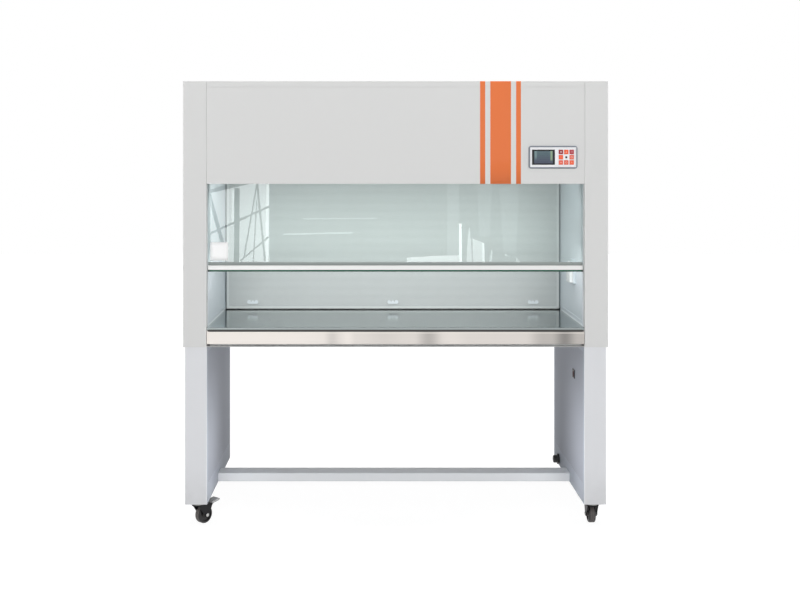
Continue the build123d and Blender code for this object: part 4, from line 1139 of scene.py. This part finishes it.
@dataclass(frozen=True)
class SoftLamp:
    """A flat lamp at a place, turned to a target, that isn't seen itself."""

    name: str
    place: Point
    target: Point
    size: Pair
    power: float  # watts
    spread: float = 180.0  # degrees

    def build(self) -> None:
        """Adds the lamp."""
        data = bpy.data.lights.new(self.name, "AREA")
        data.shape = "RECTANGLE"
        data.size, data.size_y = self.size
        data.energy = self.power
        data.spread = math.radians(self.spread)
        lamp = hang(data, [t - p for t, p in zip(self.target, self.place)])
        lamp.location = self.place
        lamp.visible_camera = False


@dataclass
class Studio:
    """Camera, white surround, pale floor and lights."""

    lens: float = 49.7
    shift: Pair = (0.036, -0.165)
    world: float = 0.30
    floor_side: float = 24.0
    floor_grey: float = 0.55
    floor_glow: float = 1.30
    floor_share: float = 0.72  # of the glow, where the floor is seen
    lights: tuple[Sun | SoftLamp, ...] = (
        Sun("front_light", (0.04, -1.0, 0.09), 1.97, 38.0),
        Sun("back_light", (0.0, 1.0, 0.0), 1.35, 20.0),
        Sun("left_light", (-1.0, 0.0, 0.0), 1.15, 14.0),
        Sun("right_light", (1.0, 0.0, 0.0), 0.95, 14.0),
        Sun("top_light", (0.0, 0.0, 1.0), 1.70, 8.0),
        SoftLamp("zone_light", (-0.02, -0.300, 1.17), (-0.02, 0.12, 0.93), (1.20, 0.05), 1.8),
        SoftLamp("low_light", (0.0, -0.300, 0.98), (0.0, -0.10, 0.70), (1.24, 0.03), 1.5),
        SoftLamp("knee_left", (0, -0.35, 0.26), (-0.68, -0.27, 0.24), (0.06, 0.40), 0.35, 55.0),
        SoftLamp("knee_right", (0, -0.35, 0.26), (0.68, -0.27, 0.24), (0.06, 0.40), 0.35, 55.0),
    )

    def build(self) -> None:
        """Sets up everything that isn't the bench."""
        scene = bpy.context.scene
        scene.view_settings.view_transform = "Standard"
        self._camera(scene)
        self._world(scene)
        self._floor()
        for light in self.lights:
            light.build()

    def _camera(self, scene: bpy.types.Scene) -> None:
        """A level camera in front of the bench, a little left of its middle."""
        data = bpy.data.cameras.new("camera")
        data.lens = self.lens
        data.sensor_width = 36.0
        data.shift_x, data.shift_y = self.shift
        data.clip_end = 60.0
        camera = bpy.data.objects.new("camera", data)
        camera.location = EYE
        camera.rotation_euler = (math.pi / 2, 0.0, 0.0)
        scene.collection.objects.link(camera)
        scene.camera = camera

    def _world(self, scene: bpy.types.Scene) -> None:
        """A white surround for what sees it straight or mirrored, softer as light."""
        g = Graph(bpy.data.worlds.new("surround"))
        white = g.node("Background", {"Color": (1, 1, 1)})
        soft = g.node("Background", {"Color": (0.97, 0.985, 1.0), "Strength": self.world})
        mixed = g.node("MixShader", {0: g.seen(), 1: soft, 2: white})
        scene.world = g.finish(mixed)

    def _floor(self) -> None:
        """A wide pale floor that keeps the bench's shadow."""

        def shape(u: np.ndarray, v: np.ndarray) -> Surface:
            """A level square about the middle."""
            return self.floor_side * (u - 0.5), self.floor_side * (v - 0.5), 0.0 * u

        g = Graph(bpy.data.materials.new("floor_pale"))
        matt = g.node("BsdfDiffuse", {"Color": (self.floor_grey,) * 3})
        glow = g.node("Emission", {"Color": (1, 1, 1), "Strength": self.floor_glow})
        share = g.seen() * self.floor_share
        lit = g.node("MixShader", {0: share, 1: matt, 2: glow})
        points, faces = lattice(shape, 2, 2)
        floor = add_mesh("floor", points.tolist(), faces.tolist(), g.finish(lit))


@dataclass
class RoomReflections:
    """Pale and dark cards behind the camera that only mirrors see.

    Each is given by where it shows on the sash's face: a card by its name, strength
    and corners, as X and Z in turn, and a bar by its two ends and its width.
    """

    back: float = -6.0
    step: float = 0.002  # from one card to the next
    bar_front: float = 0.05  # from the first card to the first bar
    bar_strength: float = 0.9
    bright: tuple[tuple[str, float, tuple[float, ...]], ...] = (
        (
            "pane_sky",
            4.4,
            (-0.676, 1.18, -0.506, 1.221, -0.449, 1.221, -0.449, 0.938, -0.676, 0.938),
        ),
        ("pane_top", 3.2, (-0.676, 1.221, -0.585, 1.221, -0.676, 1.192)),
        ("pane_edge", 6.2, (-0.459, 1.221, -0.449, 1.221, -0.453, 0.94, -0.463, 0.94)),
        ("pane_glow", 6.0, (-0.582, 1.194, -0.572, 1.196, -0.574, 1.086, -0.582, 1.068)),
        ("door_bar", 6.4, (0.226, 1.077, 0.236, 1.077, 0.237, 0.938, 0.227, 0.938)),
        ("bench_top", 4.2, (0.041, 0.955, 0.132, 0.961, 0.226, 0.964, 0.226, 0.938, 0.041, 0.938)),
        ("door_shard", 3.4, (0.262, 1.062, 0.268, 1.03, 0.273, 0.938, 0.253, 0.938, 0.257, 1.02)),
        ("door_pane", 3.6, (0.274, 1.024, 0.316, 1.006, 0.317, 0.938, 0.276, 0.938)),
        ("door_edge", 5.4, (0.308, 1.009, 0.317, 1.006, 0.318, 0.938, 0.309, 0.938)),
        ("chip_one", 3.2, (0.341, 0.979, 0.346, 0.979, 0.343, 0.94, 0.333, 0.94)),
        ("chip_two", 3.2, (0.389, 0.969, 0.407, 0.96, 0.404, 0.958, 0.389, 0.963)),
        ("haze_one", 1.5, (0.185, 1.221, 0.226, 1.221, 0.226, 0.964, 0.185, 0.963)),
        ("haze_two", 1.4, (0.290, 1.221, 0.345, 1.221, 0.335, 1.03, 0.300, 1.03)),
        ("haze_three", 1.4, (0.370, 1.200, 0.440, 1.221, 0.430, 0.97, 0.385, 0.97)),
        ("chip_three", 3.0, (0.429, 0.956, 0.447, 0.938, 0.428, 0.938)),
        ("tube_high", 2.2, (-0.328, 1.096, -0.065, 1.097, -0.065, 1.093, -0.328, 1.091)),
        ("tube_low", 2.7, (-0.401, 1.041, -0.154, 1.046, -0.154, 1.041, -0.401, 1.035)),
    )
    bars: tuple[tuple[float, float, float, float, float], ...] = (
        (-0.563, 1.203, -0.565, 0.938, 0.0185),
        (-0.676, 1.033, -0.449, 1.137, 0.0074),
        (-0.551, 0.944, -0.451, 1.029, 0.0057),
        (-0.492, 1.221, -0.539, 0.954, 0.0053),
        (-0.492, 1.221, -0.464, 0.943, 0.0071),
        (-0.493, 1.160, -0.506, 0.940, 0.0039),
        (-0.663, 1.182, -0.615, 1.007, 0.0128),
        (-0.661, 1.175, -0.661, 0.940, 0.0057),
    )

    def build(self) -> None:
        """Adds every card, each a little nearer than the last, and the dim bars in front."""
        for n, (name, strength, outline) in enumerate(self.bright):
            self._card(name, np.reshape(outline, (-1, 2)), strength, self.back + self.step * n)
        for n, (x0, z0, x1, z1, width) in enumerate(self.bars):
            start, end = np.array((x0, z0)), np.array((x1, z1))
            run = end - start
            side = np.array((-run[1], run[0])) / np.hypot(*run) * width / 2
            corners = (start + side, end + side, end - side, start - side)
            depth = self.back + self.bar_front + self.step * n
            self._card(f"bar_{n + 1}", corners, self.bar_strength, depth)

    def _card(self, name: str, outline: Sequence[Any], strength: float, depth: float) -> None:
        """One flat card.

        A point shown at x, z on the glass lies where the eye's ray, mirrored there,
        meets the card's plane: x plus (x less the eye's x) times the depths' ratio.
        """
        ratio = (GLASS_FACE - depth) / (GLASS_FACE - EYE[1])
        points = [(x + ratio * (x - EYE[0]), depth, z + ratio * (z - EYE[2])) for x, z in outline]
        g = Graph(bpy.data.materials.new(f"{name}_light"))
        light = g.finish(g.node("Emission", {"Color": (0.97, 1, 1), "Strength": strength}))
        card = add_mesh(name, points, [tuple(range(len(points)))], light)
        for kind in ("camera", "diffuse", "transmission", "shadow", "volume_scatter"):
            setattr(card, f"visible_{kind}", False)


def main() -> None:
    """Builds the studio and the bench's sub-assemblies in order."""
    logging.basicConfig(level=logging.INFO, format="%(message)s")
    Studio().build()
    RoomReflections().build()
    for part in (Cabinet(), WorkZone(), Sash(), ControlPanel(), Stand()):
        part.dress()
        if hasattr(part, "build"):
            part.build()
        LOG.info("%s done", type(part).__name__)


if __name__ == "__main__":
    main()
